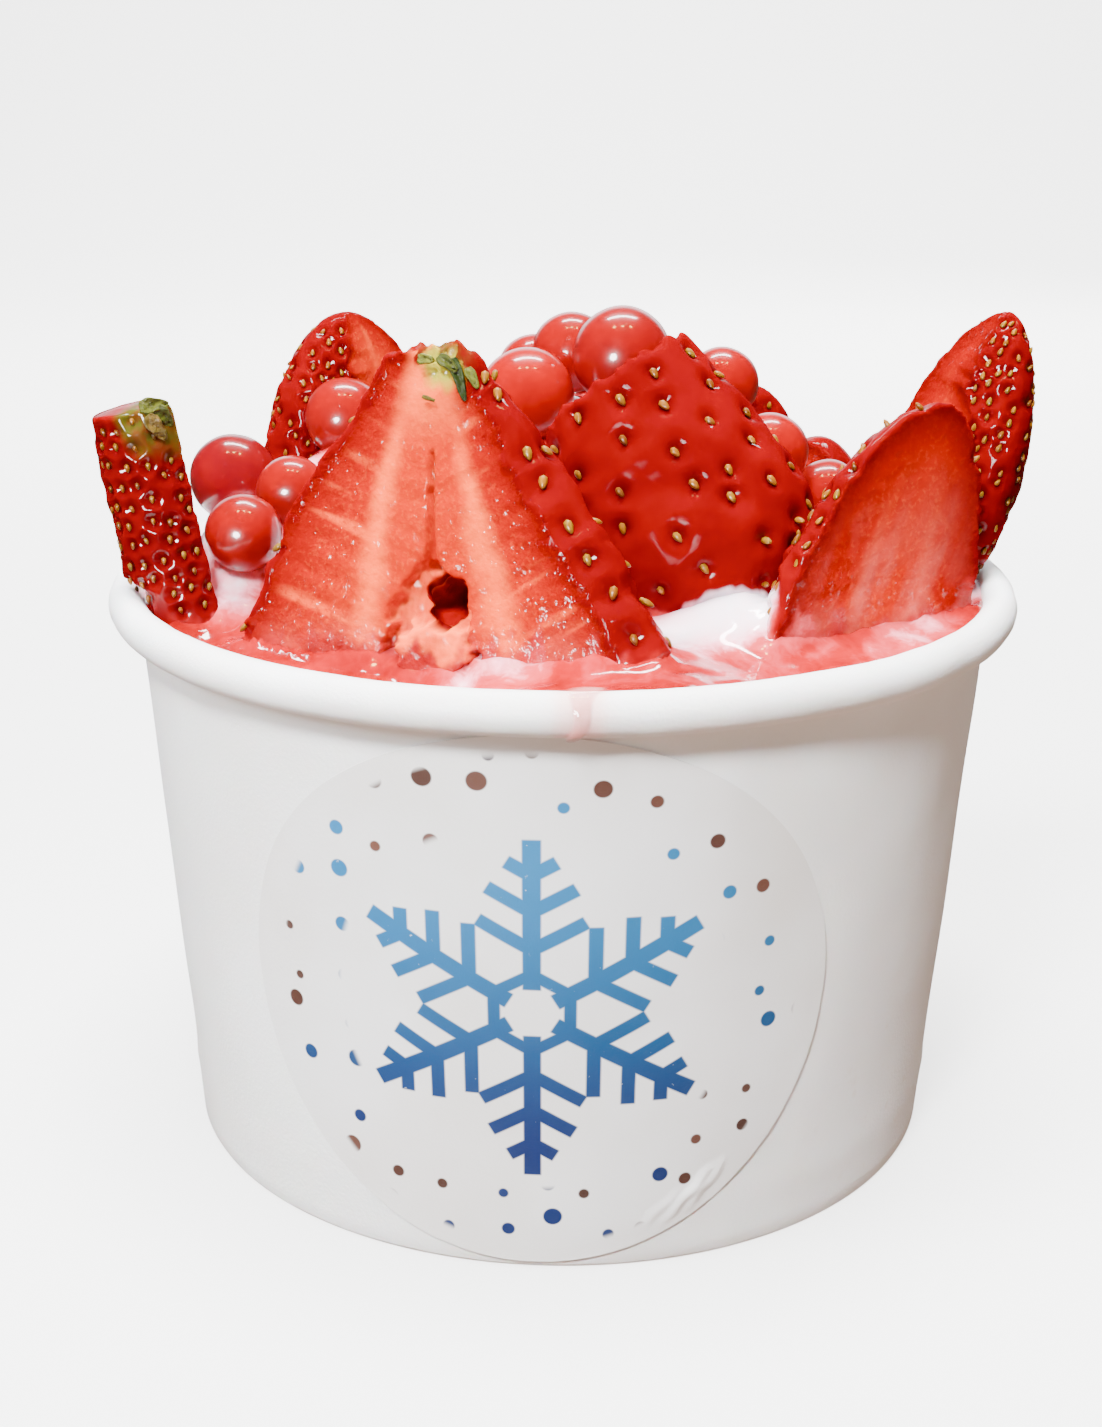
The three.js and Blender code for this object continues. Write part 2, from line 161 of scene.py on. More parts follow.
class Bench:
    """Operators that shape one object with nothing else selected."""

    @staticmethod
    def clear() -> None:
        """Deselects everything."""
        bpy.ops.object.select_all(action="DESELECT")

    @staticmethod
    def add(name: str, primitive: Callable[..., object], **values: object) -> Piece:
        """Adds a primitive with nothing else selected.

        Args:
            name: Name of the piece.
            primitive: Operator that adds it.
            **values: Settings of the operator.

        Returns:
            The object.
        """
        Bench.clear()
        primitive(**values)
        made = bpy.context.active_object
        made.name = name
        made.data.name = name
        return made

    @staticmethod
    def pick(piece: Piece) -> None:
        """Selects one object and makes it active.

        Args:
            piece: The object.
        """
        Bench.clear()
        piece.select_set(True)
        bpy.context.view_layer.objects.active = piece

    @staticmethod
    def finish_with(piece: Piece, kind: str, **values: object) -> None:
        """Adds a modifier and applies it.

        Args:
            piece: The object.
            kind: Type of the modifier.
            **values: Settings of the modifier.
        """
        Bench.pick(piece)
        modifier = piece.modifiers.new(kind.lower(), kind)
        for key, value in values.items():
            setattr(modifier, key, value)
        bpy.ops.object.modifier_apply(modifier=modifier.name)

    @staticmethod
    @contextmanager
    def edit() -> Iterator[None]:
        """Opens the active object in edit mode with all of it selected, and closes it at the end.

        Yields:
            Nothing.
        """
        bpy.ops.object.mode_set(mode="EDIT")
        bpy.ops.mesh.select_all(action="SELECT")
        yield
        bpy.ops.object.mode_set(mode="OBJECT")

    @staticmethod
    def points(piece: Piece, kind: str = "co") -> Array:
        """Reads the places of all points, or other rows of three values.

        Args:
            piece: The object.
            kind: Name of the values.

        Returns:
            One row for each point.
        """
        flat = np.empty(len(piece.data.vertices) * 3, np.float32)
        piece.data.vertices.foreach_get(kind, flat)
        return flat.reshape(-1, 3).astype(float)

    @staticmethod
    def unpack(pattern: Piece) -> tuple[Array, Array]:
        """Reads a pattern's shape and takes the pattern off the bench.

        Args:
            pattern: The object.

        Returns:
            Its points, and the corner numbers of its faces.
        """
        shape = Bench.points(pattern)
        faces = np.array([p.vertices[:] for p in pattern.data.polygons])
        bpy.data.objects.remove(pattern)
        return shape, faces

    @staticmethod
    def move(piece: Piece, points: Array) -> None:
        """Writes the places of all points, one row each."""
        piece.data.vertices.foreach_set("co", points.astype(np.float32).ravel())
        piece.data.update()

    @staticmethod
    def mark(piece: Piece, mark: Mark, values: Array) -> None:
        """Stores a value or a vector on each point.

        Args:
            piece: The object.
            mark: Name of the value.
            values: One value or one row for each point.
        """
        kind, key = ("FLOAT_VECTOR", "vector") if values.ndim == 2 else ("FLOAT", "value")
        layer = piece.data.attributes.new(mark.value, kind, "POINT")
        layer.data.foreach_set(key, values.astype(np.float32).ravel())

    @staticmethod
    def lathe(name: str, profile: Profile, steps: int) -> Piece:
        """Draws a profile by extruding a point along it and spins it about the Z axis.

        Args:
            name: Name of the piece.
            profile: Pairs of radius and height, with the solid on the left of the way along it.
            steps: Number of steps round.

        Returns:
            The closed shape.
        """
        start = profile[0]
        piece = Bench.add(name, bpy.ops.mesh.primitive_plane_add, size=1.0, location=(0.0, 0.0, 0.0))
        with Bench.edit():
            bpy.ops.mesh.merge(type="CENTER")
            bpy.ops.transform.translate(value=(start[0], 0.0, start[1]))
            for (r0, z0), (r1, z1) in zip(profile, profile[1:]):
                bpy.ops.mesh.extrude_region_move(
                    TRANSFORM_OT_translate={"value": (r1 - r0, 0.0, z1 - z0)})
            bpy.ops.mesh.select_all(action="SELECT")
            bpy.ops.mesh.spin(steps=steps, angle=math.tau, center=(0.0, 0.0, 0.0), axis=(0.0, 0.0, 1.0))
            bpy.ops.mesh.select_all(action="SELECT")
            bpy.ops.mesh.remove_doubles(threshold=MERGE_GAP)
            bpy.ops.mesh.normals_make_consistent(inside=False)
        return piece

    @staticmethod
    def heap(name: str, copies: Sequence[Array], faces: Sequence[Array], tones: Sequence[float]) -> Piece:
        """Makes one mesh from copies, each with its own tone.

        Args:
            name: Name of the piece.
            copies: Points of each copy in millimetres.
            faces: Corner numbers of each copy's faces.
            tones: Tone of each copy.

        Returns:
            The object, in metres.
        """
        Bench.clear()
        sizes = [len(copy) for copy in copies]
        starts = np.cumsum([0, *sizes])
        rows = np.concatenate([corners + start for corners, start in zip(faces, starts)])
        mesh = bpy.data.meshes.new(name)
        mesh.from_pydata((np.concatenate(copies) * MM).tolist(), [], rows.tolist())
        mesh.update()
        piece = bpy.data.objects.new(name, mesh)
        bpy.context.scene.collection.objects.link(piece)
        Bench.mark(piece, Mark.TONE, np.repeat(tones, sizes))
        return piece

    @staticmethod
    def settle(piece: Piece, slot: Slot, finish: Material, *nodes: str) -> None:
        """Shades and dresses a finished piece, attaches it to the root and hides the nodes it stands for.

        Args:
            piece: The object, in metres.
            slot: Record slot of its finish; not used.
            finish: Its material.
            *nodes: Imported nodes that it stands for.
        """
        Bench.pick(piece)
        bpy.ops.object.shade_smooth()
        piece.data.materials.clear()
        piece.data.materials.append(finish)
        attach(piece, "root")
        if nodes:
            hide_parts(*nodes)
        LOG.info("%s: %d faces", piece.name, len(piece.data.polygons))


@dataclass
class Board:
    """Places shader nodes in one tree and joins them."""

    tree: Tree

    def add(self, kind: str, *feeds: object, **values: object) -> Node:
        """Adds a node.

        Args:
            kind: Type of the node.
            *feeds: What its first inputs get.
            **values: Settings of the node.

        Returns:
            The node.
        """
        node = self.tree.nodes.new(kind)
        for key, value in values.items():
            setattr(node, key, value)
        for socket, value in zip(node.inputs, feeds):
            self.feed(socket, value)
        return node

    def use(self, group: Tree, *feeds: Value) -> Node:
        """Adds a group of nodes and feeds its inputs in their order."""
        return self.add("ShaderNodeGroup", *feeds, node_tree=group)

    def feed(self, socket: Socket, value: object) -> None:
        """Links a socket to another one, or sets it.

        Args:
            socket: The input.
            value: An output, or a plain value.
        """
        if isinstance(value, Socket):
            self.tree.links.new(value, socket)
        else:
            socket.default_value = value

    def math(self, way: str, *values: Value) -> Socket:
        """Works out one value from up to three."""
        return self.add("ShaderNodeMath", *values, operation=way).outputs[0]

    def times(self, a: Value, b: Value) -> Socket:
        """Multiplies two values."""
        return self.math("MULTIPLY", a, b)

    def grade(self, value: Value, low: float, high: float, start: float = 0.0, end: float = 1.0) -> Socket:
        """Maps values from low to high smoothly to a start and an end."""
        given = (value, low, high, start, end)
        return self.add("ShaderNodeMapRange", *given, interpolation_type="SMOOTHSTEP").outputs[0]

    def mix(self, share: Value, a: Paint, b: Paint) -> Socket:
        """Mixes two colours.

        Args:
            share: How much of the second.
            a: First colour.
            b: Second colour.

        Returns:
            The colour.
        """
        node = self.add("ShaderNodeMix", data_type="RGBA", blend_type="MIX")
        self.feed(node.inputs["Factor"], share)
        self.feed(node.inputs[6], a)
        self.feed(node.inputs[7], b)
        return node.outputs[2]

    def ramp(self, share: Value, stops: Sequence[tuple[float, Colour]]) -> Socket:
        """Reads a colour from a row of stops.

        Args:
            share: Place along the row.
            stops: Pairs of place and colour.

        Returns:
            The colour.
        """
        node = self.add("ShaderNodeValToRGB", share)
        row = node.color_ramp.elements
        while len(row) < len(stops):
            row.new(0.5)
        for stop, (place, colour) in zip(row, stops):
            stop.position = place
            stop.color = colour
        return node.outputs[0]

    def noise(self, where: Socket, scale: Value, detail: float = 2.0, bend: float = 0.0) -> Socket:
        """Adds fractal noise.

        Args:
            where: Coordinates.
            scale: Features per unit.
            detail: Finer layers.
            bend: Distortion.

        Returns:
            Values about 0.5.
        """
        node = self.add("ShaderNodeTexNoise", where)
        for key, value in (("Scale", scale), ("Detail", detail), ("Distortion", bend)):
            self.feed(node.inputs[key], value)
        return node.outputs[0]

    def mark(self, mark: Mark, output: str = "Fac") -> Socket:
        """Reads a value that the piece carries on its points."""
        return self.add("ShaderNodeAttribute", attribute_name=mark.value).outputs[output]

    def place(self) -> Socket:
        """Gives the coordinates of the piece."""
        return self.add("ShaderNodeTexCoord").outputs["Object"]

    def split(self, vector: Socket) -> list[Socket]:
        """Splits a vector into its three values."""
        return list(self.add("ShaderNodeSeparateXYZ", vector).outputs)

    def join(self, x: Value, y: Value, z: Value) -> Socket:
        """Joins three values into a vector."""
        return self.add("ShaderNodeCombineXYZ", x, y, z).outputs[0]

    def bump(self, height: Socket, depth: float) -> Socket:
        """Turns a height into a normal.

        Args:
            height: Values of the relief.
            depth: Height of the relief in metres.

        Returns:
            The normal.
        """
        node = self.add("ShaderNodeBump")
        node.inputs["Distance"].default_value = depth
        self.feed(node.inputs["Height"], height)
        return node.outputs[0]


class Surface(Board):
    """The board of one material, whose shader is fed by the names of its sockets."""

    def __init__(self, name: str) -> None:
        """Starts a material.

        Args:
            name: Name of the finish.
        """
        self.made = bpy.data.materials.new(name)
        self.made.use_nodes = True
        super().__init__(self.made.node_tree)

    def dress(self, **values: object) -> Material:
        """Feeds the shader.

        Args:
            **values: Socket names, with _ for a space, and what they get.

        Returns:
            The material.
        """
        shader = self.tree.nodes["Principled BSDF"]
        for key, value in values.items():
            self.feed(shader.inputs[key.replace("_", " ")], value)
        return self.made


class Effects:
    """Effects that more than one finish uses, each built once as a group of nodes."""

    CREAM_TONES: tuple[tuple[float, Colour], ...] = (
        (0.0, (0.97, 0.78, 0.85, 1.0)), (0.2, (0.88, 0.3, 0.37, 1.0)), (0.42, (0.52, 0.05, 0.06, 1.0)),
        (0.68, (0.33, 0.007, 0.009, 1.0)), (1.0, (0.2, 0.0004, 0.001, 1.0)))

    KINDS: dict[str, str] = {"Vector": "NodeSocketVector", "Color": "NodeSocketColor"}

    @staticmethod
    def start(name: str, inputs: Sequence[str], outputs: Sequence[str]) -> tuple[Board, dict, Node]:
        """Starts a group, whose sockets are plain values unless their names say more.

        Args:
            name: Name of the effect.
            inputs: Names of what it takes.
            outputs: Names of what it gives.

        Returns:
            The group's board, its inputs by name and its output node.
        """
        tree = bpy.data.node_groups.new(name, "ShaderNodeTree")
        for way, keys in (("INPUT", inputs), ("OUTPUT", outputs)):
            for key in keys:
                kind = Effects.KINDS.get(key, "NodeSocketFloat")
                tree.interface.new_socket(name=key, in_out=way, socket_type=kind)
        board = Board(tree)
        entry = board.add("NodeGroupInput")
        return board, {key: entry.outputs[key] for key in inputs}, board.add("NodeGroupOutput")

    @staticmethod
    @cache
    def grain() -> Tree:
        """Gives the fine wet grain of fruit and cream.

        Returns:
            A group that turns coordinates and a scale into a height.
        """
        board, given, out = Effects.start("wet_grain", ("Vector", "Scale"), ("Height",))
        fine = board.noise(given["Vector"], given["Scale"], 3.0)
        broad = board.noise(given["Vector"], board.times(given["Scale"], 0.22))
        board.feed(out.inputs["Height"], board.math("MULTIPLY_ADD", broad, 0.8, fine))
        return board.tree

    @staticmethod
    @cache
    def tooth() -> Tree:
        """Gives the tooth and the faint mottling of coated paper.

        Returns:
            A group that turns coordinates into a height, a mottle and a soil mask.
        """
        board, given, out = Effects.start("paper_tooth", ("Vector",), ("Height", "Mottle", "Soil"))
        fibre = board.noise(given["Vector"], 2600.0, 4.0)
        wave = board.noise(given["Vector"], 260.0, 3.0)
        broad = board.noise(given["Vector"], 38.0, 3.0)
        speck = board.noise(given["Vector"], 420.0, 2.0)
        soil = board.times(board.grade(speck, 0.62, 0.74), board.grade(broad, 0.5, 0.7))
        board.feed(out.inputs["Height"], board.math("MULTIPLY_ADD", wave, 1.6, fibre))
        board.feed(out.inputs["Mottle"], board.grade(broad, 0.3, 0.7))
        board.feed(out.inputs["Soil"], soil)
        return board.tree

    @staticmethod
    @cache
    def tint() -> Tree:
        """Gives the colour of ice cream by how much juice has run into it.

        Returns:
            A group that turns coordinates and a share of juice into a colour.
        """
        board, given, out = Effects.start("cream_tint", ("Vector", "Juice"), ("Color",))
        marble = board.noise(given["Vector"], 190.0, 4.0, 0.8)
        strands = board.noise(given["Vector"], 700.0, 3.0, 1.2)
        drift = board.math("MULTIPLY_ADD", marble, 1.0, board.math("MULTIPLY_ADD", strands, 0.3, -0.65))
        share = board.math("MULTIPLY_ADD", drift, board.grade(given["Juice"], 0.0, 0.35), given["Juice"])
        board.feed(out.inputs["Color"], board.ramp(share, Effects.CREAM_TONES))
        return board.tree


@dataclass(frozen=True)
class PaperFinish:
    """White coated paper, with the pink stain of juice that ran over the rim."""

    light: Colour = srgb("fbfbfc")
    shade: Colour = srgb("f1efed")
    soil: Colour = srgb("cdbfae")
    stain: Colour = srgb("f3b6ae")
    soil_share: float = 0.25
    roughness: float = 0.5
    relief: float = 0.00006

    def material(self) -> Material:
        """Builds the finish.

        Returns:
            The material.
        """
        board = Surface("coated_paper")
        tooth = board.use(Effects.tooth(), board.place())
        paper = board.mix(tooth.outputs["Mottle"], self.shade, self.light)
        dirty = board.times(tooth.outputs["Soil"], self.soil_share)
        paper = board.mix(dirty, paper, self.soil)
        stained = board.mix(board.mark(Mark.JUICE), paper, self.stain)
        return board.dress(
            Base_Color=stained, Roughness=self.roughness, Coat_Weight=0.15,
            Coat_Roughness=0.35, Subsurface_Weight=0.1, Subsurface_Scale=0.001,
            Normal=board.bump(tooth.outputs["Height"], self.relief))


@dataclass(frozen=True)
class LabelFinish:
    """A glossy sticker printed with a six-armed ice crystal among scattered dots."""

    paper: Colour = srgb("f1f1f2")
    worn: Colour = srgb("e4e0dc")
    sky: Colour = (0.015, 0.16, 0.36, 1.0)
    deep: Colour = (0.008, 0.022, 0.1, 1.0)
    brown: Colour = (0.05, 0.02, 0.014, 1.0)
    tan: Colour = (0.13, 0.05, 0.034, 1.0)
    roughness: float = 0.32
    relief: float = 0.00003
    arm_length: float = 17.5
    arm_half: float = 0.85
    twigs: tuple[tuple[float, float], ...] = ((6.6, 5.6), (10.4, 4.6), (14.0, 2.6))
    twig_half: float = 0.7
    arm_start: float = 2.4
    heart: tuple[float, float] = (2.9, 4.1)
    edge: float = 0.12
    blues: tuple[float, float] = (-16.0, 17.0)
    dot_scale: float = 0.2
    dot_stray: float = 0.6
    dot_band: tuple[float, float] = (19.0, 25.6)
    dot_fade: float = 0.4

    def _stroke(self, board: Board, distance: Value, half: float) -> Socket:
        """Masks a line of that half width."""
        return board.grade(distance, half + self.edge, half - self.edge)

    @staticmethod
    def _span(board: Board, along: Value, low: float, high: float, edge: float) -> Socket:
        """Masks a stretch between two bounds."""
        return board.times(board.grade(along, low - edge, low + edge),
                           board.grade(along, high + edge, high - edge))

    def _crystal(self, board: Board, reach: Value, turn: Value) -> Socket:
        """Draws the crystal in one sixth of a turn.

        Args:
            board: The material's board.
            reach: Distance from the middle.
            turn: Angle about the middle.

        Returns:
            The mask.
        """
        sixth = math.tau / 6
        shifted = board.math("ADD", turn, sixth / 2)
        folded = board.math("ABSOLUTE", board.math(
            "SUBTRACT", board.math("FLOORED_MODULO", shifted, sixth), sixth / 2))
        along = board.times(reach, board.math("COSINE", folded))
        across = board.times(reach, board.math("SINE", folded))
        drawn = board.times(self._stroke(board, across, self.arm_half),
                            self._span(board, along, self.arm_start, self.arm_length, self.edge))
        sine, cosine = math.sin(sixth), math.cos(sixth)
        for start, length in self.twigs:
            from_start = board.math("SUBTRACT", along, start)
            off = board.math("ABSOLUTE", board.math(
                "SUBTRACT", board.times(from_start, sine), board.times(across, cosine)))
            on = board.math("ADD", board.times(from_start, cosine), board.times(across, sine))
            twig = board.times(self._stroke(board, off, self.twig_half),
                               self._span(board, on, 0.0, length, self.edge))
            drawn = board.math("MAXIMUM", drawn, twig)
        side = board.times(reach, board.math("COSINE", board.math("SUBTRACT", folded, sixth / 2)))
        return board.math("MAXIMUM", drawn, self._span(board, side, *self.heart, self.edge))

    def material(self, middle: float, radius: float, turn: float) -> Material:
        """Builds the finish.

        Args:
            middle: Height of the label's middle in millimetres.
            radius: Radius of the wall there.
            turn: Angle of the label about the cup.

        Returns:
            The material.
        """
        board = Surface("printed_label")
        place = board.place()
        x, y, z = board.split(place)
        angle = board.math("SUBTRACT", board.math("ARCTAN2", x, board.times(y, -1.0)), turn)
        across = board.times(angle, radius)
        up = board.math("SUBTRACT", board.times(z, 1 / MM), middle)
        flat = board.join(across, up, 0.0)
        reach = board.math("SQRT", board.math("ADD", board.math("POWER", across, 2.0),
                                              board.math("POWER", up, 2.0)))
        crystal = self._crystal(board, reach, board.math("ARCTAN2", across, up))
        blue = board.mix(board.grade(up, *self.blues), self.deep, self.sky)
        cells = board.add("ShaderNodeTexVoronoi", voronoi_dimensions="2D")
        board.feed(cells.inputs["Vector"], flat)
        cells.inputs["Scale"].default_value = self.dot_scale
        cells.inputs["Randomness"].default_value = self.dot_stray
        pick = board.split(cells.outputs["Color"])
        size = board.math("MULTIPLY_ADD", pick[1], 0.1, 0.09)
        dot = board.grade(board.math("SUBTRACT", cells.outputs["Distance"], size), 0.02, -0.02)
        dots = board.times(dot, self._span(board, reach, *self.dot_band, self.dot_fade))
        dot_paint = board.mix(board.grade(pick[0], 0.45, 0.5), board.mix(pick[2], self.brown, self.tan), blue)
        tooth = board.use(Effects.tooth(), place)
        ground = board.mix(tooth.outputs["Mottle"], self.worn, self.paper)
        wear = board.grade(board.noise(flat, 1.4, 4.0), 0.2, 0.3)
        printed = board.mix(board.times(dots, wear), ground, dot_paint)
        printed = board.mix(board.times(crystal, wear), printed, blue)
        return board.dress(
            Base_Color=printed, Roughness=self.roughness, Coat_Weight=0.25,
            Coat_Roughness=0.2, Normal=board.bump(tooth.outputs["Height"], self.relief))


@dataclass(frozen=True)
class CreamFinish:
    """Melting ice cream, white where it is deep and pink to red where juice runs into it."""

    roughness: float = 0.16
    relief: float = 0.00005

    def material(self) -> Material:
        """Builds the finish.

        Returns:
            The material.
        """
        board = Surface("melting_cream")
        place = board.place()
        tint = board.use(Effects.tint(), place, board.mark(Mark.JUICE))
        grain = board.use(Effects.grain(), place, 900.0)
        return board.dress(
            Base_Color=tint.outputs["Color"], Roughness=self.roughness, Coat_Weight=1.0,
            Coat_Roughness=0.03, Subsurface_Weight=0.35, Subsurface_Scale=0.003,
            Subsurface_Radius=(1.0, 0.45, 0.4), Specular_IOR_Level=0.1,
            Normal=board.bump(grain.outputs["Height"], self.relief))


@dataclass(frozen=True)
class BerryFinish:
    """Strawberry: glossy red skin, and cut flesh that pales from its edge to its core."""

    skin: Colour = (0.105, 0.0001, 0.0012, 1.0)
    # Painted shade: the darker red that the skin takes in the seeds' pits.
    skin_pit_shade: Colour = (0.072, 0.0001, 0.0008, 1.0)
    skin_light: Colour = (0.145, 0.0001, 0.0012, 1.0)
    edge: Colour = (0.09, 0.0001, 0.0005, 1.0)
    outer: Colour = (0.2, 0.0008, 0.0001, 1.0)
    middle: Colour = (0.31, 0.0055, 0.0001, 1.0)
    inner: Colour = (0.39, 0.016, 0.0001, 1.0)
    core: Colour = (0.39, 0.014, 0.0001, 1.0)
    bundle: Colour = (0.8, 0.09, 0.013, 1.0)
    torn: Colour = (0.78, 0.1, 0.024, 1.0)
    haze: Colour = (0.52, 0.12, 0.095, 1.0)
    # Painted shade: the dark red laid into the hollow, the slit and the nick.
    wound: Colour = (0.3, 0.0002, 0.001, 1.0)
    lime: Colour = (0.33, 0.28, 0.02, 1.0)
    leaf: Colour = (0.055, 0.05, 0.005, 1.0)
    bark: Colour = (0.09, 0.03, 0.006, 1.0)
    skin_roughness: float = 0.16
    flesh_roughness: float = 0.34
    relief: float = 0.00011

    def _flesh(self, board: Board, place: Socket) -> Socket:
        """Paints the cut face: red edge, orange-red flesh with pale fibres, and the pale core.

        Args:
            board: The material's board.
            place: The piece's coordinates.

        Returns:
            The colour.
        """
        across, along, share = board.split(board.mark(Mark.FRUIT, "Vector"))
        rim = board.mark(Mark.RIM)
        pale = board.mark(Mark.PALE)
        cloudy = board.math("MULTIPLY_ADD", board.noise(place, 260.0, 3.0), 2.4, -1.2)
        inwards = board.math("MULTIPLY_ADD", cloudy, board.grade(rim, 0.3, 3.0), rim)
        colour = board.ramp(board.times(inwards, 0.1), (
            (0.0, self.edge), (0.2, self.outer), (0.55, self.middle), (1.0, self.inner)))
        spread = board.math("MULTIPLY_ADD", cloudy, 0.06, share)
        heart = board.times(board.grade(spread, 0.5, 0.12), board.grade(rim, 2.0, 7.0))
        colour = board.mix(board.times(heart, pale), colour, self.core)
        width = board.math("ABSOLUTE", across)
        slant = board.math("MULTIPLY_ADD", width, 0.5, along)
        threads = board.join(board.times(slant, 0.42), board.times(across, 0.05), 0.0)
        fibre = board.grade(board.noise(threads, 1.0, 1.5), 0.55, 0.67)
        window = board.times(board.grade(spread, 0.25, 0.45), board.grade(rim, 0.9, 3.4))
        fibre = board.times(board.times(fibre, window), board.grade(pale, -0.2, 1.2))
        colour = board.mix(board.times(fibre, 0.55), colour, self.bundle)
        line = board.math("ABSOLUTE", board.math("SUBTRACT", spread, 0.33))
        bundle = board.times(board.grade(line, 0.13, 0.0), board.grade(along, 2.0, 9.0))
        bundle = board.times(board.times(bundle, pale), board.grade(rim, 2.5, 6.0))
        colour = board.mix(board.times(bundle, 0.9), colour, self.bundle)
        fleck = board.grade(board.noise(place, 2300.0, 2.0), 0.5, 0.72)
        fleck = board.times(fleck, board.grade(rim, 1.0, 6.0, 0.02, 0.2))
        colour = board.mix(fleck, colour, self.bundle)
        granule = board.grade(board.noise(place, 1900.0, 3.0, 0.4), 0.5, 0.68)
        granule = board.times(granule, board.grade(spread, 0.3, 0.55, 0.1, 0.5))
        colour = board.mix(granule, colour, self.outer)
        top = board.times(board.grade(along, 9.0, 2.0), board.grade(spread, 0.55, 0.15))
        colour = board.mix(board.times(top, pale), colour, self.bundle)
        colour = board.mix(board.mark(Mark.VEIL), colour, self.haze)
        return board.mix(board.mark(Mark.TORN), colour, self.torn)

    def material(self) -> Material:
        """Builds the finish.

        Returns:
            The material.
        """
        board = Surface("strawberry")
        place = board.place()
        flesh_mask = board.mark(Mark.FLESH)
        dimple = board.mark(Mark.DIMPLE)
        patch = board.grade(board.noise(place, 130.0, 3.0), 0.3, 0.72)
        skin = board.mix(patch, self.skin, self.skin_light)
        # Painted shade: the skin darkens in the seeds' pits, where shade falls.
        skin = board.mix(dimple, skin, self.skin_pit_shade)
        colour = board.mix(flesh_mask, skin, self._flesh(board, place))
        calyx = board.mark(Mark.CALYX)
        green = board.mix(board.grade(board.noise(place, 700.0, 3.0), 0.4, 0.62), self.leaf, self.bark)
        green = board.mix(flesh_mask, green, self.lime)
        colour = board.mix(calyx, colour, green)
        # Painted shade: darkens the hollow, the slit and the nick to dark red, where shade falls.
        colour = board.mix(board.mark(Mark.WOUND), colour, self.wound)
        ragged = board.math("MULTIPLY_ADD", board.noise(place, 330.0, 5.0, 1.0), 0.9, -0.45)
        milk = board.mark(Mark.MILK)
        film = board.grade(board.math("MULTIPLY_ADD", ragged, board.grade(milk, 0.0, 0.4), milk), 0.15, 0.95)
        tint = board.use(Effects.tint(), place, board.mark(Mark.JUICE))
        colour = board.mix(film, colour, tint.outputs["Color"])
        grain = board.use(Effects.grain(), place, 2300.0)
        depth = board.times(grain.outputs["Height"], board.grade(flesh_mask, 0.0, 1.0, 0.12, 1.0))
        rough = board.grade(flesh_mask, 0.0, 1.0, self.skin_roughness, self.flesh_roughness)
        pool = board.grade(board.noise(place, 160.0, 1.0), 0.32, 0.45, 0.25, 0.75)
        wet = board.math("MULTIPLY_ADD", dimple, pool, board.mark(Mark.GLOSS))
        glint = board.grade(board.noise(place, 1400.0, 2.0), 0.57, 0.64)
        coat = board.times(wet, board.math("SUBTRACT", 1.0, flesh_mask))
        coat = board.math("MAXIMUM", coat, board.times(flesh_mask, board.times(glint, 0.9)))
        coat = board.math("MAXIMUM", coat, film)
        normal = board.bump(depth, self.relief)
        return board.dress(
            Base_Color=colour, Roughness=rough, Coat_Weight=coat, Coat_Roughness=0.07,
            Subsurface_Weight=0.25, Subsurface_Scale=0.002, Subsurface_Radius=(1.0, 0.22, 0.12),
            Specular_IOR_Level=0.0, Normal=normal, Coat_Normal=normal)


@dataclass(frozen=True)
class SeedFinish:
    """Glossy ochre seeds, each of its own tone."""

    light: Colour = (0.22, 0.078, 0.003, 1.0)
    dark: Colour = (0.1, 0.028, 0.002, 1.0)
    green: Colour = (0.16, 0.085, 0.004, 1.0)
    roughness: float = 0.35

    def material(self) -> Material:
        """Builds the finish.

        Returns:
            The material.
        """
        board = Surface("strawberry_seed")
        colour = board.ramp(board.mark(Mark.TONE), ((0.0, self.dark), (0.5, self.light), (1.0, self.green)))
        streak = board.grade(board.noise(board.place(), 2500.0, 2.0), 0.35, 0.65)
        colour = board.mix(board.times(streak, 0.35), colour, self.dark)
        return board.dress(Base_Color=colour, Roughness=self.roughness, Coat_Weight=0.25,
                           Coat_Roughness=0.12, Specular_IOR_Level=0.2)


@dataclass(frozen=True)
class LeafFinish:
    """Scraps of the green calyx, browning at their edges."""

    dark: Colour = (0.014, 0.022, 0.004, 1.0)
    light: Colour = (0.1, 0.1, 0.01, 1.0)
    brown: Colour = (0.09, 0.04, 0.008, 1.0)
    roughness: float = 0.45

    def material(self) -> Material:
        """Builds the finish.

        Returns:
            The material.
        """
        board = Surface("calyx_leaf")
        place = board.place()
        colour = board.ramp(board.mark(Mark.TONE), ((0.0, self.dark), (0.55, self.light), (1.0, self.brown)))
        vein = board.grade(board.noise(place, 1400.0, 3.0), 0.4, 0.6)
        colour = board.mix(board.times(vein, 0.4), colour, self.dark)
        return board.dress(Base_Color=colour, Roughness=self.roughness,
                           Specular_IOR_Level=0.15, Normal=board.bump(vein, 0.0001))


@dataclass(frozen=True)
class PearlFinish:
    """Juice pearls: a clear red skin over juice, each of its own tone."""

    crimson: Colour = (0.24, 0.0001, 0.0006, 1.0)
    scarlet: Colour = (0.32, 0.0003, 0.0001, 1.0)
    wine: Colour = (0.13, 0.0002, 0.004, 1.0)
    roughness: float = 0.28

    def material(self) -> Material:
        """Builds the finish.

        Returns:
            The material.
        """
        board = Surface("juice_pearl")
        tones = ((0.0, self.wine), (0.3, self.crimson), (1.0, self.scarlet))
        colour = board.ramp(board.mark(Mark.TONE), tones)
        swirl = board.grade(board.noise(board.place(), 260.0, 3.0, 1.0), 0.35, 0.7)
        colour = board.mix(board.times(swirl, 0.35), colour, self.crimson)
        return board.dress(
            Base_Color=colour, Roughness=self.roughness, Subsurface_Weight=0.5,
            Subsurface_Scale=0.003, Subsurface_Radius=(1.0, 0.2, 0.15), Transmission_Weight=0.2,
            IOR=1.37, Coat_Weight=0.6, Coat_Roughness=0.03, Specular_IOR_Level=0.25)


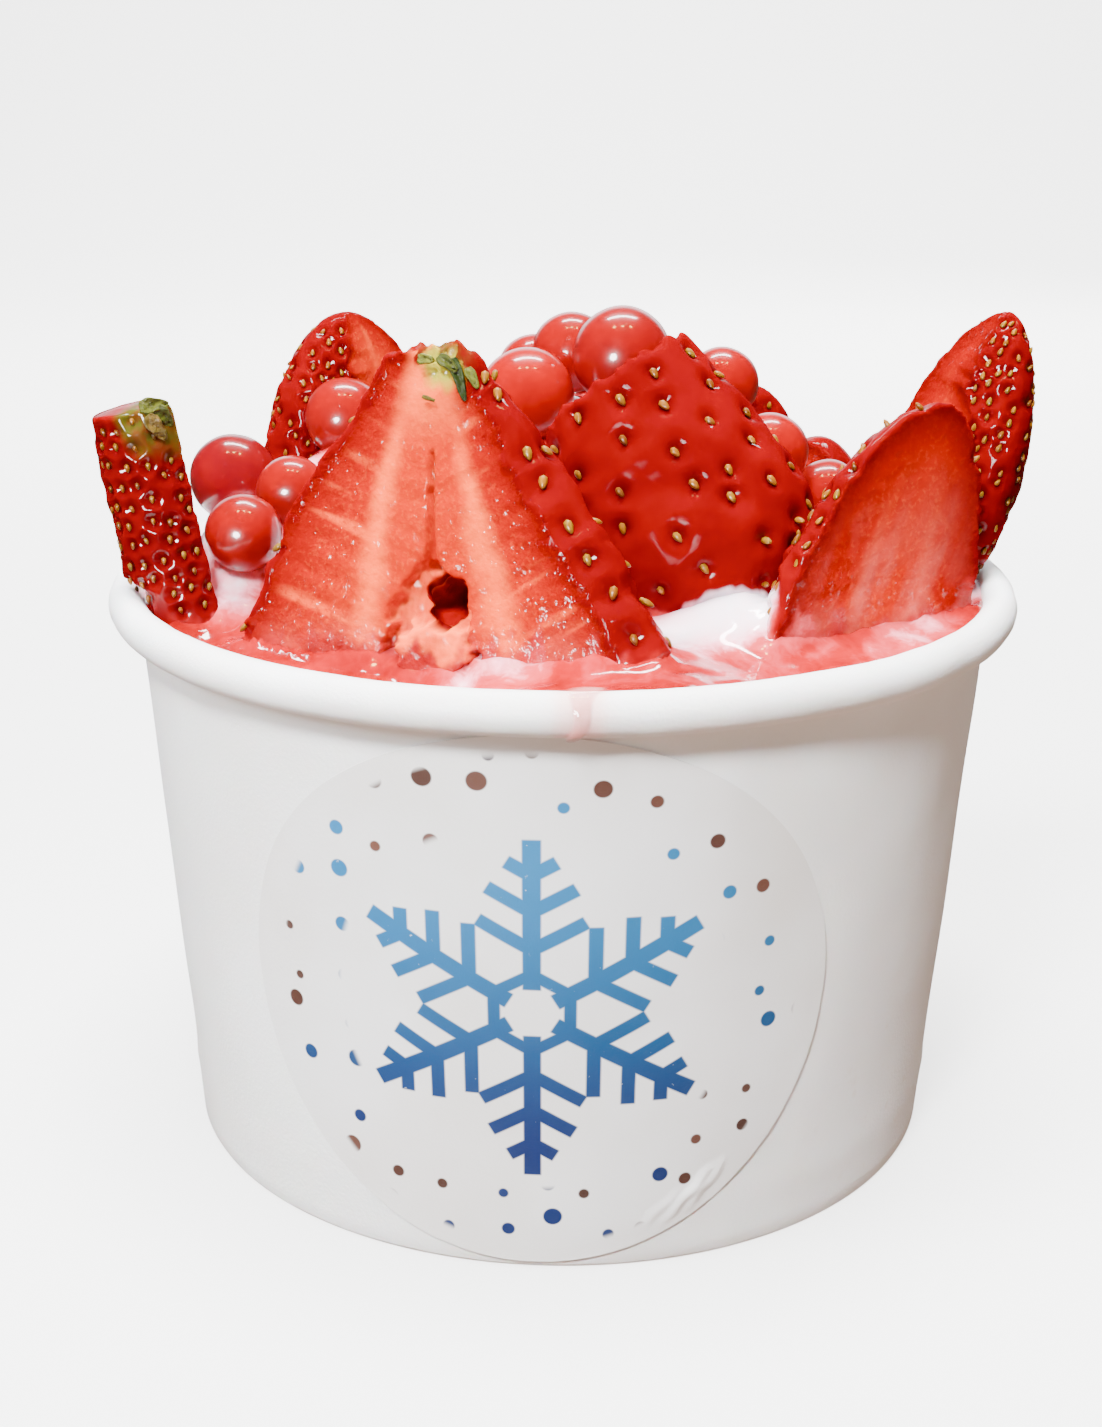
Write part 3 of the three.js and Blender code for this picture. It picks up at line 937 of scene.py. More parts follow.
@dataclass(frozen=True)
class FilmFinish:
    """A thin wet film of pink juice on paper."""

    pink: Colour = srgb("f0a39c")
    roughness: float = 0.12

    def material(self) -> Material:
        """Builds the finish.

        Returns:
            The material.
        """
        board = Surface("juice_film")
        patch = board.grade(board.noise(board.place(), 420.0, 3.0), 0.3, 0.7, 0.13, 0.32)
        alpha = board.times(patch, board.mark(Mark.JUICE))
        return board.dress(Base_Color=self.pink, Roughness=self.roughness, Alpha=alpha,
                           Coat_Weight=0.6, Coat_Roughness=0.05)


@dataclass(frozen=True)
class FloorFinish:
    """Plain pale studio floor."""

    pale: Colour = (0.5, 0.498, 0.495, 1.0)
    glow: Colour = (1.0, 0.995, 0.99, 1.0)
    glow_strength: float = 2.4
    roughness: float = 0.8

    def material(self) -> Material:
        """Builds the finish."""
        board = Surface("pale_floor")
        return board.dress(Base_Color=self.pale, Roughness=self.roughness, Specular_IOR_Level=0.1,
                           Emission_Color=self.glow, Emission_Strength=self.glow_strength)


@dataclass
class PaperCup:
    """The cup: a tapered wall with a rolled rim, and a raised base held in its folded foot."""

    height: float = 60.0
    rim_radius: float = 47.5
    foot_radius: float = 40.5
    taper: float = math.radians(4.0)
    paper: float = 0.6
    roll_half_height: float = 2.05
    roll_tuck: float = math.radians(-120.0)
    roll_steps: int = 30
    base_lift: float = 6.0
    fold_height: float = 5.0
    foot_round: float = 0.4
    fit_gap: float = 0.15
    sides: int = 288
    wall_steps: int = 36
    lap_angles: tuple[float, float] = (math.radians(80.0), math.radians(92.0))
    lap_rise: float = 0.35
    crimp_height: float = 6.2
    crimp_rise: float = 0.12
    slack_depth: float = 0.22
    slack_size: float = 0.35
    slack_start: float = 14.0
    roll_start: float = 57.0
    roll_ripple: float = 0.1
    roll_wave: float = 0.12
    stain_x: float = 1.6
    stain_half: float = 3.4
    stain_share: float = 0.75
    base_rings: int = 12
    base_sag: float = 0.3
    finish: PaperFinish = PaperFinish()

    def wall_radius(self, z: Array | float) -> Array | float:
        """Gives the wall's outer radius at a height."""
        return self.foot_radius + z * math.tan(self.taper)

    def inner_radius(self, z: Array | float) -> Array | float:
        """Gives the wall's inner radius at a height."""
        return self.wall_radius(z) - self.paper

    def slack(self, ring: Array) -> Array:
        """Gives how far slack paper strays outwards, by direction and by height as a share of the cup's."""
        rise = smooth(0.0, self.slack_start, ring[:, 2] * self.height)
        return self.slack_depth * cloud(ring, self.slack_size, 2) * rise

    @property
    def roll_z(self) -> float:
        """Height of the middle of the rim's roll."""
        return self.height - self.roll_half_height

    @property
    def roll_half_width(self) -> float:
        """Half the width of the rim's roll."""
        return (self.rim_radius - self.inner_radius(self.roll_z)) / 2

    def roll_point(self, angle: float, lift: float = 0.0) -> tuple[float, float]:
        """Gives a point of the rim's roll.

        Args:
            angle: Angle about the roll's middle, from outwards towards up.
            lift: Distance off the surface.

        Returns:
            Radius and height.
        """
        middle = self.rim_radius - self.roll_half_width
        return (middle + (self.roll_half_width + lift) * math.cos(angle),
                self.roll_z + (self.roll_half_height + lift) * math.sin(angle))

    def _wall_profile(self) -> Profile:
        """Gives the wall's outline.

        Returns:
            Pairs of radius and height, up the outside, round the rim and down the inside.
        """
        slot = self.paper + 2 * self.fit_gap
        tuck_z = self.roll_point(self.roll_tuck)[1]
        profile = [(self.foot_radius - self.foot_round, 0.0),
                   (self.wall_radius(0.12) - 0.12, 0.12)]
        for i in range(self.wall_steps + 1):
            z = self.foot_round + (tuck_z - self.foot_round) * i / self.wall_steps
            profile.append((self.wall_radius(z), z))
        for i in range(self.roll_steps + 1):
            angle = self.roll_tuck + (math.pi - self.roll_tuck) * i / self.roll_steps
            profile.append(self.roll_point(angle))
        for i in range(1, self.wall_steps + 1):
            z = self.roll_z + (self.paper - self.roll_z) * i / self.wall_steps
            profile.append((self.inner_radius(z), z))
        fold = [self.inner_radius(z) - slot for z in (self.paper, self.fold_height, self.foot_round, 0.0)]
        profile += [(fold[0], self.paper), (fold[1], self.fold_height),
                    (fold[1] - self.paper, self.fold_height), (fold[2] - self.paper, self.foot_round),
                    (fold[3] - self.paper + self.foot_round, 0.0), profile[0]]
        return profile

    def _work_wall(self, piece: Piece) -> None:
        """Gives the wall its lapped seam, base crimp, uneven roll and slack paper.

        Args:
            piece: The wall, in millimetres.
        """
        points = Bench.points(piece)
        radius = np.hypot(points[:, 0], points[:, 1])
        angle = np.arctan2(points[:, 1], points[:, 0])
        z = points[:, 2]
        outer = smooth(0.3, 0.0, np.abs(radius - self.wall_radius(z)))
        outer *= smooth(self.roll_start, self.roll_start - 1.5, z)
        start, end = self.lap_angles
        lap = smooth(start - 0.012, start, angle) * smooth(end + 0.2, end, angle)
        crimp = np.exp(-((z - self.crimp_height) / 0.9) ** 2)
        ring = np.column_stack([np.cos(angle), np.sin(angle), z / self.height])
        roll = smooth(self.roll_start - 2.5, self.roll_start, z)
        ripple = cloud(ring * (1.0, 1.0, 0.4), 0.06, 2, 7.0)
        change = outer * (lap * self.lap_rise + crimp * self.crimp_rise) + self.slack(ring)
        change += roll * ripple * self.roll_ripple
        scale = (radius + change) / np.maximum(radius, TINY)
        points[:, :2] *= scale[:, None]
        points[:, 2] += roll * cloud(ring, 0.3, 2, 3.0) * self.roll_wave
        Bench.move(piece, points)
        front = smooth(self.stain_half, self.stain_half * 0.2, np.abs(points[:, 0] - self.stain_x))
        front *= (points[:, 1] < 0) * smooth(self.roll_start - 2.2, self.roll_start, z)
        Bench.mark(piece, Mark.JUICE, front * self.stain_share)

    def build(self) -> None:
        """Builds the wall and the base."""
        finish = self.finish.material()
        wall = Bench.lathe("paper_wall", self._wall_profile(), self.sides)
        self._work_wall(wall)
        Bench.move(wall, Bench.points(wall) * MM)
        Bench.settle(wall, Slot.PAPER, finish, "cup_wall")
        top = self.base_lift + self.paper
        foot = self.paper + self.fit_gap
        skirt = [self.inner_radius(z) - self.fit_gap for z in (self.base_lift, foot, top)]
        rings = self.base_rings
        profile = [(skirt[0] * i / rings * 0.96, self.base_lift) for i in range(rings + 1)]
        profile += [(skirt[0] - self.paper, self.base_lift - 0.5), (skirt[1] - self.paper, foot),
                    (skirt[1], foot), (skirt[2], top - 0.2), (skirt[2] - 0.2, top), (0.0, top)]
        base = Bench.lathe("paper_base", profile, self.sides)
        points = Bench.points(base)
        sag = 1.0 - np.hypot(points[:, 0], points[:, 1]) / skirt[0]
        points[:, 2] -= np.clip(sag, 0.0, 1.0) * self.base_sag
        Bench.move(base, points * MM)
        Bench.mark(base, Mark.JUICE, np.zeros(len(points)))
        Bench.settle(base, Slot.PAPER, finish, "cup_base")


@dataclass
class Label:
    """The oval sticker on the front of the wall, with creases where it was rubbed down."""

    cup: PaperCup
    half_width: float = 29.2
    half_height: float = 27.4
    middle: float = 28.2
    turn: float = math.radians(-3.4)
    standoff: float = 0.12
    thickness: float = 0.16
    cuts: int = 110
    creases: tuple[tuple[float, float, float, float, float], ...] = (
        (15.5, -20.6, 4.6, 0.85, 0.30), (17.4, -19.8, 3.8, 0.9, 0.22), (12.8, -21.8, 3.2, 0.8, 0.16),
        (-21.0, 3.0, 5.0, 1.4, 0.08), (6.0, 24.5, 4.0, 0.2, 0.07))
    crease_half: float = 0.45
    wave: float = 0.04
    wave_size: float = 5.0
    finish: LabelFinish = LabelFinish()

    def _creases(self, across: Array, up: Array) -> Array:
        """Gives the height of the creases.

        Args:
            across: Distances round the wall from the label's middle.
            up: Heights above it.

        Returns:
            Heights off the wall.
        """
        rise = np.zeros(len(across))
        for x, z, half, angle, height in self.creases:
            along = (across - x) * math.cos(angle) + (up - z) * math.sin(angle)
            off = (up - z) * math.cos(angle) - (across - x) * math.sin(angle)
            off = off + 0.15 * np.sin(along * 1.7)
            rise += height * np.exp(-(off / self.crease_half) ** 2) * smooth(half, half * 0.4, np.abs(along))
        return rise

    def build(self) -> None:
        """Cuts a sheet to the oval, lays it round the wall and gives it its thickness."""
        sheet = Bench.add("label_sticker", bpy.ops.mesh.primitive_grid_add,
                          x_subdivisions=self.cuts, y_subdivisions=self.cuts, size=2.0)
        points = Bench.points(sheet)
        u, v = points[:, 0].copy(), points[:, 1].copy()
        across = u * np.sqrt(1 - v ** 2 / 2) * self.half_width
        up = v * np.sqrt(1 - u ** 2 / 2) * self.half_height
        z = self.middle + up
        middle_radius = self.cup.wall_radius(self.middle)
        angle = across / middle_radius + self.turn
        flat = np.column_stack([across, up, np.zeros(len(up))])
        radius = self.cup.wall_radius(z) + self.standoff + self._creases(across, up)
        radius += self.wave * cloud(flat, self.wave_size, 2)
        radius += self.cup.slack(np.column_stack([np.sin(angle), -np.cos(angle), z / self.cup.height]))
        points = np.column_stack([radius * np.sin(angle), -radius * np.cos(angle), z])
        Bench.move(sheet, points * MM)
        Bench.pick(sheet)
        with Bench.edit():
            bpy.ops.mesh.normals_make_consistent(inside=False)
        if Bench.points(sheet, "normal")[:, 1].mean() > 0:
            sheet.data.flip_normals()
        Bench.finish_with(sheet, "SOLIDIFY", thickness=self.thickness * MM, offset=1.0)
        finish = self.finish.material(self.middle, middle_radius, self.turn)
        Bench.settle(sheet, Slot.LABEL, finish, "label")
        Bench.pick(sheet)
        bpy.ops.object.shade_smooth_by_angle(angle=math.radians(50.0))


@dataclass(frozen=True)
class CreamHill:
    """A flat-topped hill of ice cream."""

    centre: tuple[float, float]
    reach: tuple[float, float]
    height: float
    steepness: float


@dataclass
class IceCream:
    """The ice cream: level at the wall, hills under the fruit, and juice along the front."""

    cup: PaperCup
    edge: float = 57.5
    rim_fade: float = 10.0
    blend: float = 4.0
    hills: tuple[CreamHill, ...] = (
        CreamHill((0.0, 10.0), (27.0, 17.0), 17.5, 6.0), CreamHill((-24.0, 5.0), (8.0, 8.0), 13.0, 4.0),
        CreamHill((-33.0, -1.0), (8.0, 12.0), 8.5, 4.0), CreamHill((28.0, 8.0), (8.0, 9.0), 6.5, 4.0))
    pools: tuple[CreamHill, ...] = (
        CreamHill((17.5, -17.5), (6.0, 6.0), 3.4, 2.0), CreamHill((-33.5, -8.0), (4.5, 7.0), 1.0, 2.0))
    rings: int = 96
    sides: int = 288
    climb: float = 0.9
    front_climb: float = 0.8
    climb_reach: float = 1.6
    lump_height: float = 0.7
    meniscus: float = 0.9
    brim: float = 59.75
    front_row: tuple[Triple, ...] = (
        (-44.0, 0.9, -1.0), (-34.0, 0.8, -1.6), (-20.0, 1.1, -2.4), (-14.0, 1.0, -2.8), (-10.5, 0.5, -2.6),
        (-6.0, 0.5, -1.6), (-3.0, 0.7, -1.0), (0.0, 0.8, -0.4), (8.0, 0.8, 0.6), (12.0, 0.75, 0.4),
        (14.5, 0.6, -0.4), (18.0, 0.6, -1.0), (20.5, 0.75, -1.4), (27.0, 0.85, -0.9), (31.0, 0.5, -0.8),
        (36.0, 0.4, -0.6), (40.0, 0.7, -0.3), (44.0, 0.95, 0.0))
    finish: CreamFinish = CreamFinish()

    def level(self, x: Array, y: Array) -> Array:
        """Gives the height of the ice cream over points of the cup.

        Args:
            x: Places across.
            y: Places to the back.

        Returns:
            Heights.
        """
        total = np.zeros(np.shape(x))
        for hill in self.hills:
            total = total + (hill.height * self._share(hill, x, y)) ** self.blend
        near = np.minimum(1.0, np.hypot(x, y) / self.cup.inner_radius(self.edge))
        return self.edge + total ** (1 / self.blend) * (1 - near ** self.rim_fade)

    @staticmethod
    def _front(x: Array, y: Array) -> Array:
        """Grades how near the front wall points are."""
        return smooth(-1.0, -14.0, y) * smooth(24.0, 34.0, np.hypot(x, y))

    @staticmethod
    def _lumps(x: Array, y: Array) -> Array:
        """Gives the slow unevenness of the surface."""
        return cloud(np.column_stack([x, y, np.zeros(len(x))]), 9.0, 3)

    @staticmethod
    def _share(hill: CreamHill, x: Array, y: Array) -> Array:
        """Grades a hill from 1 at its middle to 0 away from it."""
        away = np.hypot((x - hill.centre[0]) / hill.reach[0], (y - hill.centre[1]) / hill.reach[1])
        return np.exp(-(away ** hill.steepness))

    def surface(self, x: Array, y: Array) -> Array:
        """Gives the height of the melted surface, with its lumps, its front edge and its pools.

        Args:
            x: Places across.
            y: Places to the back.

        Returns:
            Heights.
        """
        row = np.array(self.front_row)
        still = smooth(43.5, 38.0, np.hypot(x, y))
        z = self.level(x, y) + self.lump_height * self._lumps(x, y) * still
        z = z + self._front(x, y) * np.interp(x, row[:, 0], row[:, 2])
        for pool in self.pools:
            z = z + pool.height * self._share(pool, x, y)
        return z

    def stain(self, x: Array, y: Array) -> tuple[Array, Array]:
        """Tells where juice has run along the front and where the cream has stayed white.

        Args:
            x: Places across.
            y: Places to the back.

        Returns:
            Shares of juice and of white cream.
        """
        row = np.array(self.front_row)
        lumps = self._lumps(x, y)
        radius = np.hypot(x, y)
        juice = np.interp(x + lumps * 3.0, row[:, 0], row[:, 1]) * self._front(x, y)
        milky = np.zeros(len(x))
        for pool in self.pools:
            milky = np.maximum(milky, smooth(0.12, 0.8, self._share(pool, x, y) + 0.25 * lumps))
        juice *= 0.92 + 0.25 * smooth(37.0, 43.0, radius)
        return juice, milky * smooth(44.0, 38.0, radius + 2.0 * lumps)

    def _profile(self) -> Profile:
        """Gives the outline of the plug that fills the cup.

        Returns:
            Pairs of radius and height, out along the bottom, up the wall and in over the top.
        """
        low = self.cup.base_lift + self.cup.paper
        into = self.cup.paper / 3
        side = [(self.cup.inner_radius(z) + into, z) for z in np.linspace(low, self.edge, 12)]
        top = [(side[-1][0] * (1 - i / self.rings), self.edge) for i in range(1, self.rings + 1)]
        return [(0.0, low), *side, *top]

    def build(self, fruit: Sequence[BVHTree]) -> None:
        """Builds the ice cream round the fruit.

        Args:
            fruit: Shapes of the pieces that stand in it, in millimetres.
        """
        piece = Bench.lathe("cream_heap", self._profile(), self.sides)
        points = Bench.points(piece)
        x, y = points[:, 0], points[:, 1]
        radius = np.hypot(x, y)
        on_top = points[:, 2] > self.edge - 0.01
        front = self._front(x, y)
        z = self.surface(x, y)
        near = np.full(len(x), FAR)
        for i in np.flatnonzero(on_top):
            spot = Vector((x[i], y[i], z[i] + 0.6))
            for shape in fruit:
                hit = shape.find_nearest(spot, 8.0)
                if hit[0] is not None:
                    near[i] = min(near[i], hit[3])
        ragged = np.clip(0.9 + 0.9 * cloud(points, 4.0, 3, 8.0), 0.1, 2.0)
        z = z + (self.climb + self.front_climb * front * ragged) * np.exp(-near / self.climb_reach)
        from_wall = np.abs(radius - self.cup.inner_radius(59.0))
        z = z + self.meniscus * np.exp(-from_wall / self.meniscus)
        z = np.minimum(z, np.where(radius > 42.0, self.brim, FAR))
        points[:, 2] = np.where(on_top, z, points[:, 2])
        Bench.move(piece, points)
        band, milky = self.stain(x, y)
        high = smooth(61.0, 66.0, z)
        bleed = (0.35 + 0.5 * high) * np.exp(-near / (1.0 + high))
        drift = 0.35 * smooth(0.1, 0.6, cloud(points, 12.0, 3, 5.0))
        juice = np.maximum(np.maximum(band, bleed), drift * (1 - front)) * (1 - milky)
        juice = np.maximum(juice, 0.17 * smooth(-26.0, -30.0, x))
        Bench.mark(piece, Mark.JUICE, np.where(on_top, juice, 0.0))
        Bench.move(piece, points * MM)
        Bench.settle(piece, Slot.CREAM, self.finish.material(), "ice_cream")


@dataclass
class SeedStore:
    """All seeds, gathered berry by berry and made as one piece."""

    size: Triple = (0.62, 1.08, 0.48)
    finish: SeedFinish = SeedFinish()
    places: list[Matrix] = field(default_factory=list)
    tones: list[float] = field(default_factory=list)

    def build(self) -> None:
        """Models one seed as a drop and copies it to every place."""
        drop = Bench.add("seed_pattern", bpy.ops.mesh.primitive_uv_sphere_add,
                         segments=8, ring_count=6, radius=1.0)
        with Bench.edit():
            bpy.ops.transform.resize(value=self.size)
            bpy.ops.mesh.quads_convert_to_tris()
        shape, faces = Bench.unpack(drop)
        along = shape[:, 1] / self.size[1]
        shape[:, 0] *= 1.0 - 0.35 * along
        shape[:, 2] *= 1.0 - 0.2 * along
        flat = np.column_stack([shape, np.ones(len(shape))])
        copies = [(flat @ np.array(m).T)[:, :3] for m in self.places]
        piece = Bench.heap("strawberry_seeds", copies, [faces] * len(copies), self.tones)
        Bench.settle(piece, Slot.BERRY, self.finish.material())


@dataclass
class Strawberry:
    """A berry between its calyx and tip, with one plane cut along it."""

    node: str
    calyx: Triple
    tip: Triple
    face: Triple
    neck: float
    girth: float
    girth_at: float = 0.45
    flare: float = 2.0
    taper: float = 0.55
    depth: float = 0.85
    cut: float = 0.0
    cap: float = 0.1
    crown: float = 0.0
    bow: float = 0.0
    seed_pitch: float = 3.5
    seed_scale: float = 1.0
    seed_clear: float = 0.5
    row_share: float = 0.87
    pillow: float = 0.4
    pale: float = 0.6
    voxel: float = 0.3
    milk_reach: float = 4.0
    shift: float = 0.0
    band: float = 0.0
    band_side: float = 1.0
    band_rise: float = 0.0
    flank: float = 0.0
    flank_side: float = -1.0
    gloss: float = 0.4
    knobs: float = 0.0
    scallop: float = 0.03
    # Factor on the face's distance from its edge, which sets its colour ramp. Below 1 it makes the face
    # darker and redder; above 1 it pales a narrow face that its dark edge colour would fill.
    fade: float = 1.0
    pit: float = 0.4
    hem: float = 0.4
    veil: float = 0.0
    veil_reach: float = 10.0

    @property
    def length(self) -> float:
        """Distance from calyx to tip."""
        return (Vector(self.tip) - Vector(self.calyx)).length

    @property
    def row_gap(self) -> float:
        """Distance between rows of seeds."""
        return self.row_share * self.seed_pitch

    def place(self) -> Matrix:
        """Gives the berry's place: its Z axis runs to the tip and its Y axis away from the cut.

        Returns:
            The matrix from the berry to the cup, in millimetres.
        """
        axis = (Vector(self.tip) - Vector(self.calyx)).normalized()
        inward = -Vector(self.face)
        inward = (inward - axis * inward.dot(axis)).normalized()
        across = inward.cross(axis)
        turn = Matrix((across, inward, axis)).transposed().to_4x4()
        return Matrix.Translation(Vector(self.calyx)) @ turn

    def radius(self, along: Array) -> Array:
        """Gives the half width at distances from the calyx.

        Args:
            along: Distances.

        Returns:
            Half widths.
        """
        girth_along = self.girth_at * self.length
        rise = 1 - np.clip(1 - along / girth_along, 0.0, 1.0) ** self.flare
        to_tip = np.clip((along - girth_along) / (self.length - girth_along), 0.0, 1.0)
        close = self.girth * (1 - to_tip ** 2) ** self.taper
        return np.where(along < girth_along, self.neck + (self.girth - self.neck) * rise, close)

    def widen(self, along: Array, side: Array) -> Array:
        """Gives the factor, from 1 up, by which the flank is wider than the other side."""
        swell = np.sin(math.pi * np.clip(along / self.length, 0.0, 1.0)) ** 0.8
        return 1 + self.flank * swell * (np.sign(side) == self.flank_side)

    def lean(self, along: Array) -> Array:
        """Gives how far the middle leans sideways at distances from the calyx."""
        return self.bow * np.sin(math.pi * np.clip(along / self.length, 0.0, 1.0))

    def _rough_out(self) -> Piece:
        """Shapes a ball to the berry's outline and cuts it along its plane.

        Returns:
            The half berry, in its own millimetres.
        """
        name = self.node.replace("strawberry", "berry")
        piece = Bench.add(name, bpy.ops.mesh.primitive_uv_sphere_add,
                          segments=96, ring_count=72, radius=1.0)
        ball = Bench.points(piece)
        share = np.arccos(np.clip(-ball[:, 2], -1.0, 1.0)) / math.pi
        on_cap = share < self.cap
        turn = np.clip((share - self.cap) / (1 - self.cap), 0.0, 1.0)
        along = np.where(on_cap, -self.crown * (1 - (share / self.cap) ** 2),
                         self.length * np.sin(math.pi / 2 * turn))
        wide = np.where(on_cap, self.neck * share / self.cap, self.radius(np.maximum(along, 0.0)))
        angle = np.arctan2(ball[:, 1], ball[:, 0])
        across = wide * np.cos(angle)
        shape = np.column_stack([
            across * self.widen(along, across) + self.lean(along), wide * self.depth * np.sin(angle), along])
        uneven = 0.05 * cloud(shape, 9.0, 2, self.shift)
        uneven += self.scallop * cloud(shape, 2.6, 2, self.shift + 5.0)
        shape[:, :2] *= (1 + uneven)[:, None]
        Bench.move(piece, shape)
        with Bench.edit():
            bpy.ops.mesh.remove_doubles(threshold=MERGE_GAP)
            bpy.ops.mesh.select_all(action="SELECT")
            bpy.ops.mesh.bisect(plane_co=(0.0, self.cut, 0.0), plane_no=(0.0, 1.0, 0.0),
                                use_fill=True, clear_inner=True)
            bpy.ops.mesh.select_all(action="SELECT")
            bpy.ops.mesh.normals_make_consistent(inside=False)
        return piece

    def _carve(self, piece: Piece) -> None:
        """Cuts what opens in the face: nothing on a plain berry."""

    def _shoulder(self, across: Array, along: Array) -> tuple[Array, Array, Array]:
        """Places the skin that laps over one side of the cut.

        Args:
            across: Places across the face.
            along: Distances from the calyx.

        Returns:
            How far the face stands out, the way over the shoulder from 0 at the cut to 1 at the outline, and
            the distance from the cut's edge towards the other side.
        """
        half = np.maximum(self.radius(np.clip(along, 0.0, self.length)), 0.3)
        if self.band <= 0.0:
            return np.zeros(len(across)), np.zeros(len(across)), np.full(len(across), FAR)
        scale = np.minimum(1.0, half / (0.7 * self.girth))
        wave = cloud(np.column_stack([along, 0.3 * across, 0.0 * along]), 2.4, 2, self.shift + 31.0)
        width = self.band * scale * (1 + 0.3 * wave)
        out = (across - self.lean(along)) * self.band_side
        over = np.clip((out - (half - width)) / width, 0.0, 1.0)
        inside = (half - width) - out
        fall = np.clip(inside / np.maximum(2 * half - width, 0.3), 0.0, 1.0)
        rise = self.band_rise * scale * np.where(over > 0, np.sqrt(1 - over ** 2), 1 - fall)
        return rise, over, np.where(inside > 0, inside, 0.0)

    def _shows(self, spot: Vector, level: Level) -> bool:
        """Tells whether a point of the berry stands clear of the ice cream."""
        world = self.place() @ spot
        return world.z >= float(level(world.x, world.y)) + self.seed_clear

    @staticmethod
    def _seat(spot: Vector, out: Vector) -> Matrix:
        """Gives a seed's place: Y runs to the tip and Z out of the skin.

        Args:
            spot: Middle of the seed.
            out: Normal of the skin.

        Returns:
            The matrix from the seed to the berry.
        """
        down = (Vector((0.0, 0.0, 1.0)) - out * out.z).normalized()
        turn = Matrix((down.cross(out), down, out)).transposed().to_4x4()
        return Matrix.Translation(spot) @ turn

    def _seed_frames(self, level: Level) -> list[Matrix]:
        """Lays out seeds in staggered rows on the skin above the ice cream.

        Args:
            level: Height of the ice cream over a point.

        Returns:
            Seed places in the berry.
        """
        stream = random.Random(self.node)
        frames = []
        for row in range(int(self.length / self.row_gap)):
            along = (row + 0.55) * self.row_gap
            wide, wider = self.radius(np.array([along, along + 0.1]))
            round_way = math.pi * wide * (1 + self.depth)
            count = max(3, round(round_way / self.seed_pitch))
            for k in range(count):
                angle = math.tau * (k + row % 2 / 2 + stream.uniform(-0.22, 0.22)) / count
                at = along + stream.uniform(-0.22, 0.22) * self.seed_pitch
                wide = float(self.radius(np.array([at]))[0])
                across = wide * math.cos(angle) * float(self.widen(at, math.cos(angle)))
                spot = Vector((across + float(self.lean(at)), wide * self.depth * math.sin(angle), at))
                if spot.y < self.cut + 0.35 or at > self.length - 0.6 or not self._shows(spot, level):
                    continue
                out = Vector((math.cos(angle), math.sin(angle) / self.depth, -(wider - wide) / 0.1 * 0.5))
                frames.append(self._seat(spot, out.normalized()))
        return frames + self._shoulder_frames(level, stream)

    def _shoulder_frames(self, level: Level, stream: random.Random) -> list[Matrix]:
        """Lays out seeds on the shoulder of skin beside the cut.

        Args:
            level: Height of the ice cream over a point.
            stream: Random numbers of this berry.

        Returns:
            Seed places in the berry.
        """
        frames = []
        columns = int(round(self.band / (0.9 * self.seed_pitch)))
        rows = int(self.length / self.row_gap) if columns else 0
        for row in range(rows):
            for column in range(columns):
                at = (row + 0.3 + 0.5 * (column % 2) + stream.uniform(-0.3, 0.3)) * self.row_gap
                over = (column + 0.45 + stream.uniform(-0.3, 0.3)) / columns
                half = float(self.radius(np.array([at]))[0])
                width = self.band * min(1.0, half / (0.7 * self.girth))
                x = float(self.lean(at)) + self.band_side * (half - width * (1 - over))
                grid = np.array([x, x + 0.05, x]), np.array([at, at, at + 0.05])
                y = self.cut - self._shoulder(*grid)[0]
                a, b, c = (Vector((grid[0][i], y[i], grid[1][i])) for i in range(3))
                out = (b - a).cross(c - a).normalized()
                if at <= self.length - 0.8 and self._shows(a, level):
                    frames.append(self._seat(a, -out if out.y > 0 else out))
        return frames

    def _outline(self, piece: Piece) -> KDTree:
        """Gathers the outline of the cut face from the edges that lie in the cut.

        Args:
            piece: The half berry.

        Returns:
            A tree of points in the plane of the cut.
        """
        points = Bench.points(piece)
        in_cut = np.abs(points[:, 1] - self.cut) < 1e-3
        ends = np.array([edge.vertices[:] for edge in piece.data.edges])
        ends = ends[in_cut[ends].all(axis=1)]
        share = np.linspace(0.0, 1.0, 6)[:, None, None]
        spots = (points[ends[:, 0]] * (1 - share) + points[ends[:, 1]] * share).reshape(-1, 3)
        tree = KDTree(len(spots))
        for i, spot in enumerate(spots * (1.0, 0.0, 1.0)):
            tree.insert(spot, i)
        tree.balance()
        return tree

    def _face_relief(self, points: Array, rim: Array) -> tuple[Array, Array, Array]:
        """Works the cut face: fibres, grain and a lip at the skin.

        Args:
            points: The berry's points.
            rim: Their distances from the face's outline.

        Returns:
            Heights off the plane of the cut, how much painted shade each point gets in the face's recesses,
            and how torn each point is.
        """
        width = np.abs(points[:, 0] - self.lean(points[:, 2]))
        threads = np.column_stack([(points[:, 2] + 0.5 * width) / 1.6, points[:, 0] / 16.0, points[:, 1] * 0])
        fibre = cloud(threads, 1.0, 2, self.shift) * smooth(1.0, 4.0, rim)
        grain = cloud(points, 0.9, 2, self.shift + 4.0)
        lip = np.exp(-(rim / 0.8) ** 2)
        none = np.zeros(len(points))
        return 0.12 * fibre + 0.07 * grain + 0.12 * lip, none, none

    def _calyx(self, points: Array) -> Array:
        """Tells how green each point is: not at all on a berry without its calyx."""
        return np.zeros(len(points))

